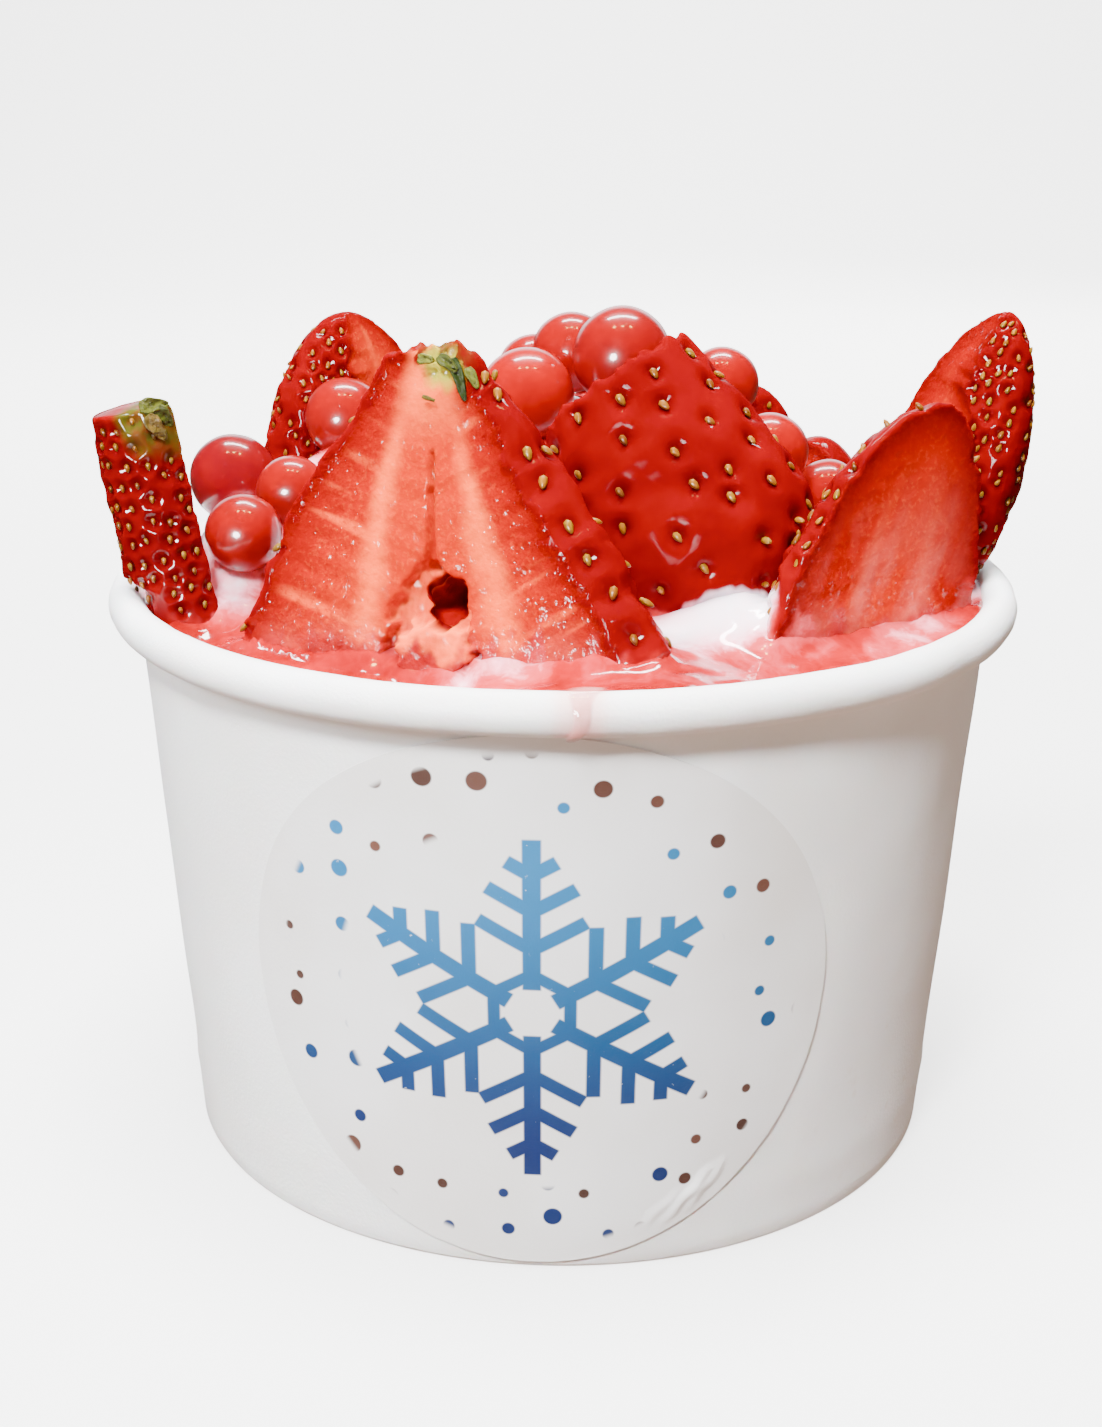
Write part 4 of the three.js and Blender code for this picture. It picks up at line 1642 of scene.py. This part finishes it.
    def _work_face(self, piece: Piece, outline: KDTree) -> tuple[Array, Array, Array, Array]:
        """Works the cut face and the skin that laps over its edge.

        Args:
            piece: The berry.
            outline: Outline of the cut face.

        Returns:
            How bare the flesh is, its distance from the skin, how much painted shade each point gets in the
            face's recesses, and how torn each point is.
        """
        points, normals = Bench.points(piece), Bench.points(piece, "normal")
        flat = points * (1.0, 0.0, 1.0)
        rim = np.array([outline.find(p)[2] for p in flat])
        facing = smooth(0.25, 0.8, -normals[:, 1]) * smooth(0.9, 0.3, points[:, 1] - self.cut)
        rise, over, inside = self._shoulder(points[:, 0], points[:, 2])
        skin_side = smooth(0.0, 0.1, over)
        rim = np.minimum(rim, inside) * (1 - skin_side)
        relief, wound, torn = self._face_relief(points, rim)
        hem = self.hem * (0.6 + 1.1 * cloud(flat, 1.5, 2, self.shift + 41.0)) - 0.12
        bare = facing * (1 - skin_side) * smooth(hem - 0.12, hem + 0.12, rim)
        points[:, 1] -= relief * facing * (1 - skin_side) + rise * facing
        Bench.move(piece, points)
        Bench.finish_with(piece, "SMOOTH", factor=0.5, iterations=1)
        return np.maximum(bare, smooth(0.05, 0.4, wound)), rim, wound, torn

    def _work_skin(self, piece: Piece, frames: Sequence[Matrix], flesh: Array) -> tuple[Array, Array]:
        """Swells the skin between the seeds' pits and roughens the end at the calyx.

        Args:
            piece: The berry.
            frames: Seed places.
            flesh: How bare the flesh is.

        Returns:
            The new points, and how deep each lies in a pit.
        """
        points, normals = Bench.points(piece), Bench.points(piece, "normal")
        pits = KDTree(max(1, len(frames)))
        for i, seat in enumerate(frames):
            pits.insert(seat.translation, i)
        pits.balance()
        away = np.array([pits.find(p)[2] if frames else FAR for p in points])
        dimple = np.exp(-(away / (0.45 + self.seed_scale * 0.75)) ** 2)
        swell = smooth(0.0, 0.62 * self.seed_pitch, away)
        lump = cloud(points, 3.2, 2, self.shift + 9.0)
        fine = cloud(points, 1.1, 2, self.shift + 19.0)
        push = self.pillow * (swell - 0.7) - self.pit * self.seed_scale * dimple + 0.07 * lump + 0.015 * fine
        points += normals * (push * (1 - flesh))[:, None]
        knobs = np.clip(cloud(points * (1.0, 0.6, 0.0), 1.7, 2, self.shift + 25.0) + 0.25, 0.0, 1.0)
        points[:, 2] -= self.knobs * knobs * smooth(3.0, 0.0, points[:, 2])
        return points, dimple

    def _sow(self, frames: Sequence[Matrix], seeds: SeedStore) -> None:
        """Hands the seeds to the store, each with its own size, turn and tone.

        Args:
            frames: Seed places in the berry.
            seeds: Store of all seeds.
        """
        stream = random.Random(self.node + "_tones")
        sink = (0.3 * self.pillow + 0.55 * self.pit - 0.06) * self.seed_scale
        lower = Matrix.Translation((0.0, 0.0, -sink))
        for seat in frames:
            size = self.seed_scale * stream.uniform(0.85, 1.12)
            tilt = Matrix.Rotation(stream.uniform(-0.35, 0.35), 4, "Z")
            scale = Matrix.Diagonal((size, size, size, 1.0))
            seeds.places.append(self.place() @ seat @ lower @ tilt @ scale)
            seeds.tones.append(stream.random())

    def _films(self, points: Array, world: Array, cream: IceCream) -> dict[Mark, Array]:
        """Tells where ice cream and juice cling to the berry.

        Args:
            points: The berry's points.
            world: The same points in the cup.
            cream: The ice cream.

        Returns:
            Values for the milky film, its juice and the thin veil above it.
        """
        share = self._share(points)
        above = world[:, 2] - cream.surface(world[:, 0], world[:, 1])
        stray = 3.2 * min(1.0, self.milk_reach / 5.0)
        ragged = above + stray * cloud(world * (1.0, 1.0, 0.4), 2.6, 3, self.shift)
        juice, milky = cream.stain(world[:, 0], world[:, 1])
        streak = np.clip(0.45 + 1.1 * cloud(points * (1.0, 0.0, 0.3), 3.4, 4, self.shift + 37.0), 0.0, 1.0)
        streak = streak * smooth(1.05, 0.4, share) * smooth(self.veil_reach, 0.0, above)
        return {Mark.MILK: smooth(self.milk_reach, 0.0, ragged),
                Mark.JUICE: np.maximum(juice, 0.7) * (1 - milky), Mark.VEIL: self.veil * streak}

    def _share(self, points: Array) -> Array:
        """Gives how far points are from the middle line, as a share of the half width."""
        return np.abs(points[:, 0] - self.lean(points[:, 2])) / np.maximum(self.radius(points[:, 2]), 0.5)

    def build(self, finish: Material, cream: IceCream, seeds: SeedStore) -> BVHTree:
        """Builds the berry and hands its seeds to the store.

        Args:
            finish: The berries' material.
            cream: The ice cream that it stands in.
            seeds: Store of all seeds.

        Returns:
            The berry's shape in the cup's millimetres.
        """
        piece = self._rough_out()
        outline = self._outline(piece)
        self._carve(piece)
        Bench.finish_with(piece, "REMESH", mode="VOXEL", voxel_size=self.voxel, use_smooth_shade=True)
        Bench.finish_with(piece, "SMOOTH", factor=0.5, iterations=3)
        flesh, rim, wound, torn = self._work_face(piece, outline)
        frames = self._seed_frames(cream.level)
        points, dimple = self._work_skin(piece, frames, flesh)
        self._sow(frames, seeds)
        world = np.column_stack([points, np.ones(len(points))]) @ np.array(self.place()).T[:, :3]
        world = self._within_cup(world, cream.cup)
        share = np.clip(self._share(points), 0.0, 1.5)
        marks = {
            # On the front-right berry the low fade paints shade into the flesh colour.
            Mark.FLESH: flesh, Mark.RIM: rim * self.fade, Mark.WOUND: smooth(0.3, 0.9, wound),
            Mark.FRUIT: np.column_stack([points[:, 0], points[:, 2], share]), Mark.TORN: torn,
            Mark.GLOSS: np.full(len(points), self.gloss), Mark.CALYX: self._calyx(points),
            Mark.PALE: np.full(len(points), self.pale), Mark.DIMPLE: 0.75 * dimple,
            **self._films(points, world, cream)}
        marks[Mark.MILK] *= smooth(0.3, 0.05, wound)
        for mark, values in marks.items():
            Bench.mark(piece, mark, values)
        Bench.move(piece, world * MM)
        Bench.settle(piece, Slot.BERRY, finish, self.node)
        return BVHTree.FromPolygons(world.tolist(), [p.vertices[:] for p in piece.data.polygons])

    @staticmethod
    def _within_cup(world: Array, cup: PaperCup) -> Array:
        """Presses a berry inside the wall below the rim.

        Args:
            world: The berry's points in the cup.
            cup: The cup.

        Returns:
            The points, none of them in the paper.
        """
        radius = np.hypot(world[:, 0], world[:, 1])
        room = cup.inner_radius(np.minimum(world[:, 2], cup.height)) - 0.25
        room = room + 30.0 * smooth(cup.height + 0.2, cup.height + 9.0, world[:, 2])
        world[:, :2] *= np.minimum(1.0, room / np.maximum(radius, TINY))[:, None]
        return world


@dataclass
class TornStrawberry(Strawberry):
    """The large berry in front: a slit in its core opens into a torn hollow."""

    slit: tuple[Triple, ...] = (
        (0.1, 8.6, 0.1), (0.5, 14.0, 0.24), (0.9, 18.0, 0.4), (1.1, 20.0, 0.7))
    hollow: Triple = (-0.1, 1.2, 23.0)
    hollow_size: Triple = (2.5, 5.0, 2.5)
    tear: tuple[Triple, ...] = (
        (18.6, 0.8, 1.3), (20.0, -0.2, 3.0), (22.4, -2.3, 4.9), (25.0, -2.8, 5.9), (28.0, -3.0, 7.0),
        (31.0, -2.6, 7.4))
    crumb: tuple[float, float, float, float] = (1.3, 27.6, 4.0, 3.0)
    nick: tuple[float, float, float, float] = (6.2, 28.4, 0.7, 1.4)

    def _carve(self, piece: Piece) -> None:
        """Cuts the hollow with a lumpy ball.

        Args:
            piece: The half berry.
        """
        tool = Bench.add("hollow_tool", bpy.ops.mesh.primitive_ico_sphere_add, subdivisions=4, radius=1.0)
        shape = Bench.points(tool)
        shape *= (1 + 0.45 * cloud(shape, 0.7, 3, 2.0))[:, None]
        Bench.move(tool, shape * np.array(self.hollow_size) + np.array(self.hollow))
        Bench.finish_with(piece, "BOOLEAN", operation="DIFFERENCE", object=tool, solver="EXACT")
        bpy.data.objects.remove(tool)

    def _patch(self, points: Array, shape: tuple[float, float, float, float], ragged: float) -> Array:
        """Grades a ragged oval patch of the face from 1 inside to 0 outside.

        Args:
            points: The berry's points.
            shape: Middle and half sizes, across and along.
            ragged: How far its edge strays.

        Returns:
            Grades.
        """
        x, s, half_x, half_s = shape
        away = np.hypot((points[:, 0] - x) / half_x, (points[:, 2] - s) / half_s)
        return smooth(1.12, 0.88, away + ragged * cloud(points, 1.3, 3, 11.0))

    def _face_relief(self, points: Array, rim: Array) -> tuple[Array, Array, Array]:
        """Works the cut face with its slit, torn pocket and crumb.

        Args:
            points: The berry's points.
            rim: Their distances from the face's outline.

        Returns:
            Heights off the plane of the cut, how much painted shade each point gets in the hollow, the slit
            and the nick, and how torn each point is.
        """
        relief, _, _ = super()._face_relief(points, rim)
        across, along = points[:, 0], points[:, 2]
        row = np.array(self.slit)
        ragged = cloud(points, 1.1, 3, 6.0)
        middle = np.interp(along, row[:, 1], row[:, 0]) + 0.15 * ragged
        half = np.interp(along, row[:, 1], row[:, 2], left=0.0, right=0.0)
        slit = smooth(1.6, 0.5, np.abs(across - middle) / np.maximum(half, 1e-3)) * (half > 0)
        edge = np.array(self.tear)
        jag = 0.9 * cloud(points * (1.0, 0.3, 1.0), 1.7, 3, 17.0)
        low = np.interp(along, edge[:, 0], edge[:, 1]) + jag
        high = np.interp(along, edge[:, 0], edge[:, 2]) + jag
        tear = smooth(-0.1, 0.15, across - low) * smooth(0.1, -0.15, across - high)
        tear = tear * smooth(18.6, 19.2, along + jag)
        crumb = self._patch(points, self.crumb, 0.25)
        nick = self._patch(points, self.nick, 0.4)
        lumpy = cloud(points * (1.0, 0.3, 1.0), 3.2, 1, 15.0) + 0.25 * cloud(points, 0.6, 2, 35.0)
        shreds = cloud(points * (1.0, 1.0, 0.5), 0.9, 2, 29.0)
        relief = relief * (1 - tear) - 1.3 * slit - tear * (1 - crumb) * (1.5 + 0.7 * shreds)
        relief = relief + crumb * (1.1 + 0.6 * lumpy) - 1.6 * nick
        from_hollow = np.hypot(across - self.hollow[0], along - self.hollow[2]) / self.hollow_size[0]
        deep = smooth(0.8, 2.2, points[:, 1] - self.cut) * smooth(1.8, 1.2, from_hollow)
        torn = np.clip(tear * (0.55 + 0.6 * shreds) + crumb * 0.7, 0.0, 1.0)
        # Painted shade: darkest deep in the hollow, strong in the nick, and along the slit's part nearer the
        # tip.
        dark = np.maximum(np.maximum(deep, 0.9 * nick), 0.55 * slit * smooth(10.0, 16.0, along))
        return relief, dark, torn * (1 - deep)

    def _calyx(self, points: Array) -> Array:
        """Tells how green each point is, strongest at the top."""
        away = np.hypot((points[:, 0] + 1.4) / 0.95, points[:, 2] - 0.6)
        return smooth(3.4, 1.2, away + 1.1 * cloud(points, 1.6, 2, 21.0))


@dataclass
class LeafyStrawberry(Strawberry):
    """The slim berry at the left, whose cut end keeps half of its brown-green calyx."""

    green_side: Triple = (0.8, -0.5, 0.3)

    def _calyx(self, points: Array) -> Array:
        """Tells how green each point is, on one side of the top.

        Args:
            points: The berry's points.

        Returns:
            Grades from 0 to 1.
        """
        turned = np.array(self.place().to_3x3().inverted() @ Vector(self.green_side))
        lean = points @ turned
        top = smooth(4.2, 1.4, points[:, 2] + cloud(points, 2.0, 2, 4.0) - 0.4 * lean)
        return top * smooth(0.4, 1.8, lean - 0.1 * points[:, 2])


@dataclass(frozen=True)
class LeafScrap:
    """One pointed scrap of leaf that curls along its middle."""

    start: Triple
    end: Triple
    half: float
    curl: float
    tone: float
    thickness: float = 0.28
    outlook: Triple = (0.15, -1.0, 0.35)

    def pattern(self) -> tuple[Array, Array]:
        """Models the scrap from its broad end to its point.

        Returns:
            Points in millimetres and faces.
        """
        leaf = Bench.add("scrap_pattern", bpy.ops.mesh.primitive_grid_add,
                         x_subdivisions=6, y_subdivisions=12, size=2.0)
        shape = Bench.points(leaf)
        u, v = shape[:, 0], (shape[:, 1] + 1) / 2
        axis = Vector(self.end) - Vector(self.start)
        side = axis.cross(Vector(self.outlook)).normalized()
        out = side.cross(axis).normalized()
        wide = self.half * np.sin(math.pi * (0.18 + 0.8 * v)) * (1 + 0.15 * np.sin(9 * v))
        rise = self.half * (self.curl * u ** 2 * 1.6 + 0.35 * np.sin(3.0 * v) + 0.12 * np.sin(11 * v + 3 * u))
        made = (np.array(self.start) + np.outer(v, np.array(axis)) + np.outer(u * wide, np.array(side))
                + np.outer(rise, np.array(out)))
        Bench.move(leaf, made)
        Bench.finish_with(leaf, "SOLIDIFY", thickness=self.thickness, offset=0.0)
        Bench.finish_with(leaf, "SUBSURF", levels=1, render_levels=1)
        Bench.finish_with(leaf, "TRIANGULATE")
        return Bench.unpack(leaf)


@dataclass
class CalyxScraps:
    """Scraps of leaf left on the cut ends of two berries."""

    finish: LeafFinish = LeafFinish()
    scraps: tuple[LeafScrap, ...] = (
        LeafScrap((-10.4, -21.9, 84.9), (-9.2, -22.9, 81.0), 0.55, 0.3, 0.0),
        LeafScrap((-11.7, -21.8, 85.0), (-9.9, -22.4, 83.6), 0.6, 0.3, 0.2),
        LeafScrap((-13.6, -21.6, 84.7), (-12.0, -22.0, 84.6), 0.5, 0.4, 0.55),
        LeafScrap((-9.0, -22.2, 84.0), (-8.0, -23.0, 82.2), 0.5, 0.3, 0.4),
        LeafScrap((-13.2, -22.4, 81.4), (-12.0, -22.6, 81.0), 0.18, 0.3, 0.75),
        LeafScrap((-41.0, -15.9, 79.1), (-38.4, -14.6, 79.2), 0.8, 0.25, 0.35),
        LeafScrap((-40.2, -16.3, 78.4), (-38.6, -15.8, 76.0), 0.8, 0.2, 0.9),
        LeafScrap((-39.4, -15.6, 79.2), (-38.2, -14.6, 77.2), 0.7, 0.3, 0.2))

    def build(self) -> None:
        """Builds all scraps as one piece."""
        copies, faces = zip(*(scrap.pattern() for scrap in self.scraps))
        piece = Bench.heap("calyx_scraps", copies, faces, [scrap.tone for scrap in self.scraps])
        Bench.settle(piece, Slot.BERRY, self.finish.material())


@dataclass
class JuicePearls:
    """The pearls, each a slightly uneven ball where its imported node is."""

    nodes: tuple[str, ...]
    tones: tuple[float, ...] = (0.05, 0.35, 0.6, 0.55, 0.75, 0.5, 0.95, 0.25, 0.4, 0.45, 0.6, 0.85, 0.3)
    uneven: float = 0.025
    tone_seed: int = 11
    finish: PearlFinish = PearlFinish()

    def build(self) -> list[BVHTree]:
        """Models one ball and copies it to every pearl's place.

        Returns:
            The pearls' shapes in millimetres.
        """
        ball = Bench.add("pearl_pattern", bpy.ops.mesh.primitive_ico_sphere_add, subdivisions=5, radius=1.0)
        shape, faces = Bench.unpack(ball)
        stream = random.Random(self.tone_seed)
        copies, tones = [], []
        for i, node in enumerate(self.nodes):
            low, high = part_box(node)
            centre = np.array((low + high) / 2) / MM
            radius = (high - low).length / math.sqrt(12) / MM
            swell = 1 + self.uneven * cloud(shape, 1.3, 2, 3.7 * i)
            copies.append(centre + shape * radius * swell[:, None])
            tones.append(self.tones[i] if i < len(self.tones) else stream.random())
        piece = Bench.heap("juice_pearls", copies, [faces] * len(copies), tones)
        Bench.settle(piece, Slot.PEARL, self.finish.material(), *self.nodes)
        return [BVHTree.FromPolygons(made.tolist(), faces.tolist()) for made in copies]


@dataclass
class JuiceDrip:
    """The film of juice that ran over the rim in front."""

    cup: PaperCup
    half: float = 2.3
    standoff: float = 0.2
    top_angle: float = math.radians(150.0)
    low_angle: float = math.radians(-75.0)
    thickness: float = 0.22
    skin: float = 0.05
    finish: FilmFinish = FilmFinish()

    def build(self) -> None:
        """Lays a sheet over the roll and thickens its middle."""
        film = Bench.add("juice_drip", bpy.ops.mesh.primitive_grid_add,
                         x_subdivisions=24, y_subdivisions=48, size=2.0)
        points = Bench.points(film)
        u, v = points[:, 0], (points[:, 1] + 1) / 2
        wander = 0.5 * np.sin(5.0 * v) + 0.3 * np.sin(11.0 * v)
        wide = self.half * (0.75 + 0.35 * np.sin(2.0 + 4.0 * v)) * np.sqrt(np.clip(1.02 - v ** 6, 0.0, 1.0))
        x = self.cup.stain_x + wander + u * wide
        body = (1 - u ** 2) * smooth(0.0, 0.2, v)
        lift = self.standoff + self.thickness * body * (0.6 + 0.6 * v)
        angle = self.top_angle + (self.low_angle - self.top_angle) * v
        rows = np.array([self.cup.roll_point(a, k) for a, k in zip(angle, lift)])
        turn = x / self.cup.rim_radius
        made = np.column_stack([rows[:, 0] * np.sin(turn), -rows[:, 0] * np.cos(turn), rows[:, 1]])
        Bench.move(film, made * MM)
        wet = smooth(1.0, 0.55, np.abs(u)) * smooth(0.0, 0.12, v) * smooth(1.0, 0.9, v)
        Bench.mark(film, Mark.JUICE, wet)
        if Bench.points(film, "normal")[:, 1].mean() > 0:
            film.data.flip_normals()
        Bench.finish_with(film, "SOLIDIFY", thickness=self.skin * MM, offset=-1.0)
        Bench.settle(film, Slot.CREAM, self.finish.material())


@dataclass(frozen=True)
class SoftBox:
    """A studio lamp, round unless it has a depth of its own."""

    name: str
    place: Triple
    target: Triple
    size: float
    power: float
    colour: Triple = (1.0, 1.0, 1.0)
    beam: Beam = Beam.SOFT
    depth: float = 0.0

    def build(self) -> None:
        """Hangs the lamp and turns it to its target."""
        Bench.clear()
        bpy.ops.object.light_add(type="AREA", location=self.place)
        lamp = bpy.context.active_object
        lamp.name = self.name
        lamp.data.shape = "RECTANGLE" if self.depth else "DISK"
        lamp.data.size = self.size
        lamp.data.size_y = self.depth or self.size
        lamp.data.energy = self.power
        lamp.data.color = self.colour
        lamp.visible_diffuse, lamp.visible_glossy = self.beam.value
        lamp.visible_transmission = lamp.visible_glossy
        aim = Vector(self.target) - Vector(self.place)
        lamp.rotation_euler = aim.to_track_quat("-Z", "Y").to_euler()


@dataclass
class Studio:
    """The pale floor, the lamps and the camera."""

    camera_place: Triple = (0.0, -210.4543, 111.2672)
    yaw: float = -0.0056
    pitch: float = 0.3126
    roll: float = 0.0054
    focal: float = 2024.352
    near_clip: float = 0.005
    sky: Colour = (0.18, 0.19, 0.2, 1.0)
    ground: Colour = (0.95, 0.63, 0.47, 1.0)
    mirrored: float = 0.15
    back_glow: float = 4.0
    seen: float = 16.0
    floor_size: float = 8.0
    sweep_start: float = 0.8
    sweep_radius: float = 0.9
    lamps: tuple[SoftBox, ...] = (
        SoftBox("front_box", (-0.11, -0.38, 0.45), FRUIT_MIDDLE, 0.12, 11.0, (0.96, 0.985, 1.0)),
        SoftBox("left_key", (-0.6, -0.25, 0.4), CUP_MIDDLE, 0.3, 7.5, (0.92, 0.96, 1.0)),
        SoftBox("top_box", (0.0, -0.05, 0.75), CUP_MIDDLE, 0.35, 24.0),
        SoftBox("right_fill", (0.7, -0.3, 0.3), CUP_MIDDLE, 0.4, 0.5, (1.0, 0.72, 0.5)),
        SoftBox("glint", (-0.15, -0.42, 0.12), FRUIT_MIDDLE, 0.13, 8.0, beam=Beam.SHINE),
        *(SoftBox(f"spark_{i}", (x, -0.09, 0.6), FRUIT_MIDDLE, 0.045, 0.5, (1.0, 0.66, 0.22), Beam.SHINE)
          for i, x in enumerate((-0.13, 0.0, 0.13), 1)),
        SoftBox("strip", (0.0, 0.2, 0.6), FRUIT_MIDDLE, 0.4, 8.0, beam=Beam.SHINE, depth=0.06),
        SoftBox("back_fill", (0.25, 0.7, 0.4), CUP_MIDDLE, 0.5, 8.0),
        SoftBox("backdrop_box", (0.0, 0.45, 0.8), (0.0, 1.7, 0.25), 0.7, 55.0))
    finish: FloorFinish = FloorFinish()

    def _floor(self) -> None:
        """Lays the floor and raises it into a soft sweep at the back."""
        floor = Bench.add("studio_floor", bpy.ops.mesh.primitive_grid_add,
                          x_subdivisions=2, y_subdivisions=60, size=self.floor_size)
        points = Bench.points(floor)
        start, bend = self.sweep_start, self.sweep_radius
        turn = np.clip((points[:, 1] - start) / bend, 0.0, math.pi / 2)
        beyond = np.maximum(points[:, 1] - start - bend * math.pi / 2, 0.0)
        points[:, 1] = np.where(turn > 0, start + bend * np.sin(turn), points[:, 1])
        points[:, 2] = bend * (1 - np.cos(turn)) + beyond
        Bench.move(floor, points)
        floor.data.materials.append(self.finish.material())
        floor.visible_diffuse = False
        floor.visible_glossy = False
        Bench.pick(floor)
        bpy.ops.object.shade_smooth()

    def _camera(self) -> None:
        """Sets the camera where the picture was taken from."""
        Bench.clear()
        bpy.ops.object.camera_add(location=[c * MM for c in self.camera_place])
        camera = bpy.context.active_object
        camera.name = "picture_camera"
        camera.data.sensor_width = SENSOR_WIDTH
        camera.data.lens = self.focal * SENSOR_WIDTH / max(IMAGE_WIDTH, IMAGE_HEIGHT)
        camera.data.clip_start = self.near_clip
        heading = Matrix.Rotation(-self.yaw, 3, "Z") @ Matrix.Rotation(math.pi / 2 - self.pitch, 3, "X")
        camera.rotation_euler = (heading @ Matrix.Rotation(self.roll, 3, "Z")).to_euler()
        bpy.context.scene.camera = camera

    def _room(self) -> None:
        """Gives the room its dim light, its bright look and the glow that reflects from behind."""
        world = bpy.data.worlds.new("studio")
        world.use_nodes = True
        board = Board(world.node_tree)
        _, depth, height = board.split(board.add("ShaderNodeTexCoord").outputs["Generated"])
        glow = board.mix(board.grade(height, -0.12, 0.02), self.ground, self.sky)
        back = world.node_tree.nodes["Background"]
        paths = board.add("ShaderNodeLightPath").outputs
        board.feed(back.inputs["Color"], board.mix(paths["Is Camera Ray"], glow, self.sky))
        behind = board.times(board.grade(depth, 0.75, 0.95), board.grade(height, 0.0, 0.15))
        shine = board.math("MULTIPLY_ADD", behind, self.back_glow / self.sky[2], self.mirrored)
        strength = board.math("MULTIPLY_ADD", paths["Is Camera Ray"], self.seen - 1.0, 1.0)
        turned = board.times(paths["Is Glossy Ray"], board.math("SUBTRACT", shine, 1.0))
        board.feed(back.inputs["Strength"], board.math("ADD", strength, turned))
        bpy.context.scene.world = world

    def build(self) -> None:
        """Builds the studio."""
        self._camera()
        self._floor()
        for lamp in self.lamps:
            lamp.build()
        self._room()


BERRIES: tuple[Strawberry, ...] = (
    TornStrawberry(
        "strawberry_front", (-12.6, -20.0, 84.6), (-9.0, -29.3, 39.9), (-0.28, -0.94, 0.2), neck=4.7,
        girth=22.2, girth_at=0.62, flare=1.24, depth=0.64, crown=0.8, bow=1.2, seed_pitch=4.3,
        seed_scale=0.62, pale=1.0, voxel=0.24, milk_reach=4.5, shift=1.0, band=4.2, band_side=-1.0,
        band_rise=2.6, gloss=0.06, knobs=1.1, scallop=0.06, hem=1.2, veil=0.3, veil_reach=6.0),
    # Its fade and pale, below the others', paint its flesh darker and redder: painted shade for a face that
    # lies in shade.
    Strawberry(
        "strawberry_front_right", (27.5, -20.7, 45.8), (37.9, -12.5, 79.3), (0.5, -0.84, 0.05), neck=8.0,
        girth=11.8, girth_at=0.25, bow=-0.5, seed_pitch=2.9, seed_scale=0.55, pale=0.15, shift=13.0,
        milk_reach=5.0, gloss=0.2, fade=0.75, knobs=0.6, hem=0.9, veil=0.55, veil_reach=18.0, scallop=0.05),
    Strawberry(
        "strawberry_middle", (5.5, -5.5, 80.1), (20.6, -13.4, 58.5), (0.0, 0.94, -0.34), neck=8.4,
        girth=10.0, girth_at=0.62, flare=1.4, taper=0.5, depth=0.8, bow=0.6, seed_pitch=4.3, seed_scale=0.6,
        pillow=0.2, milk_reach=2.0, shift=27.0, flank=0.5, gloss=0.01, knobs=0.8, pit=0.9, voxel=0.22,
        scallop=0.01),
    LeafyStrawberry(
        "strawberry_left", (-42.1, -12.0, 78.3), (-34.8, -12.9, 41.1), (0.75, 0.66, 0.2), neck=4.3,
        girth=4.8, girth_at=0.5, depth=1.0, cut=-1.5, crown=0.6, bow=-0.5, seed_pitch=2.2, seed_scale=0.38,
        voxel=0.2, milk_reach=3.0, shift=33.0),
    Strawberry(
        "strawberry_back_left", (-23.4, 16.5, 49.0), (-24.2, 16.0, 84.5), (0.6, -0.8, 0.0), neck=7.0,
        girth=11.0, girth_at=0.42, bow=0.6, seed_pitch=2.0, seed_scale=0.38, pillow=0.35, pale=0.35,
        voxel=0.22, shift=41.0, band=5.0, band_side=-1.0, band_rise=3.5, gloss=0.1, fade=3.2),
    Strawberry(
        "strawberry_right", (33.2, 3.5, 51.0), (45.8, 0.0, 86.8), (-0.75, -0.66, 0.1), neck=6.0, girth=8.4,
        taper=0.6, depth=0.8, bow=0.5, seed_pitch=1.8, seed_scale=0.4, pillow=0.3, pale=0.2, voxel=0.22,
        shift=52.0, band=5.5, band_rise=3.0, gloss=0.1, fade=0.8),
    Strawberry(
        "strawberry_back_right", (27.0, 24.0, 47.0), (30.3, 25.0, 69.4), (-0.7, -0.7, 0.1), neck=5.0,
        girth=7.5, cut=-2.0, seed_pitch=2.4, seed_scale=0.45, pillow=0.35, pale=0.4, shift=63.0),
    Strawberry(
        "strawberry_behind", (18.5, 18.0, 58.0), (20.9, 15.0, 77.2), (0.2, 0.96, 0.1), neck=5.0, girth=7.0,
        depth=0.8, seed_pitch=2.4, seed_scale=0.45, pillow=0.35, pale=0.4, shift=71.0),
)


def main() -> None:
    """Builds the studio and the pieces in order."""
    logging.basicConfig(level=logging.INFO, format="%(name)s %(message)s")
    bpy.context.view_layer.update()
    cup = PaperCup()
    cream = IceCream(cup)
    seeds = SeedStore()
    Studio().build()
    cup.build()
    Label(cup).build()
    finish = BerryFinish().material()
    fruit = [berry.build(finish, cream, seeds) for berry in BERRIES]
    seeds.build()
    CalyxScraps().build()
    pearls = JuicePearls(tuple(sorted(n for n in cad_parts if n.startswith("pearl_"))))
    fruit += pearls.build()
    cream.build(fruit)
    JuiceDrip(cup).build()


if __name__ == "__main__":
    main()
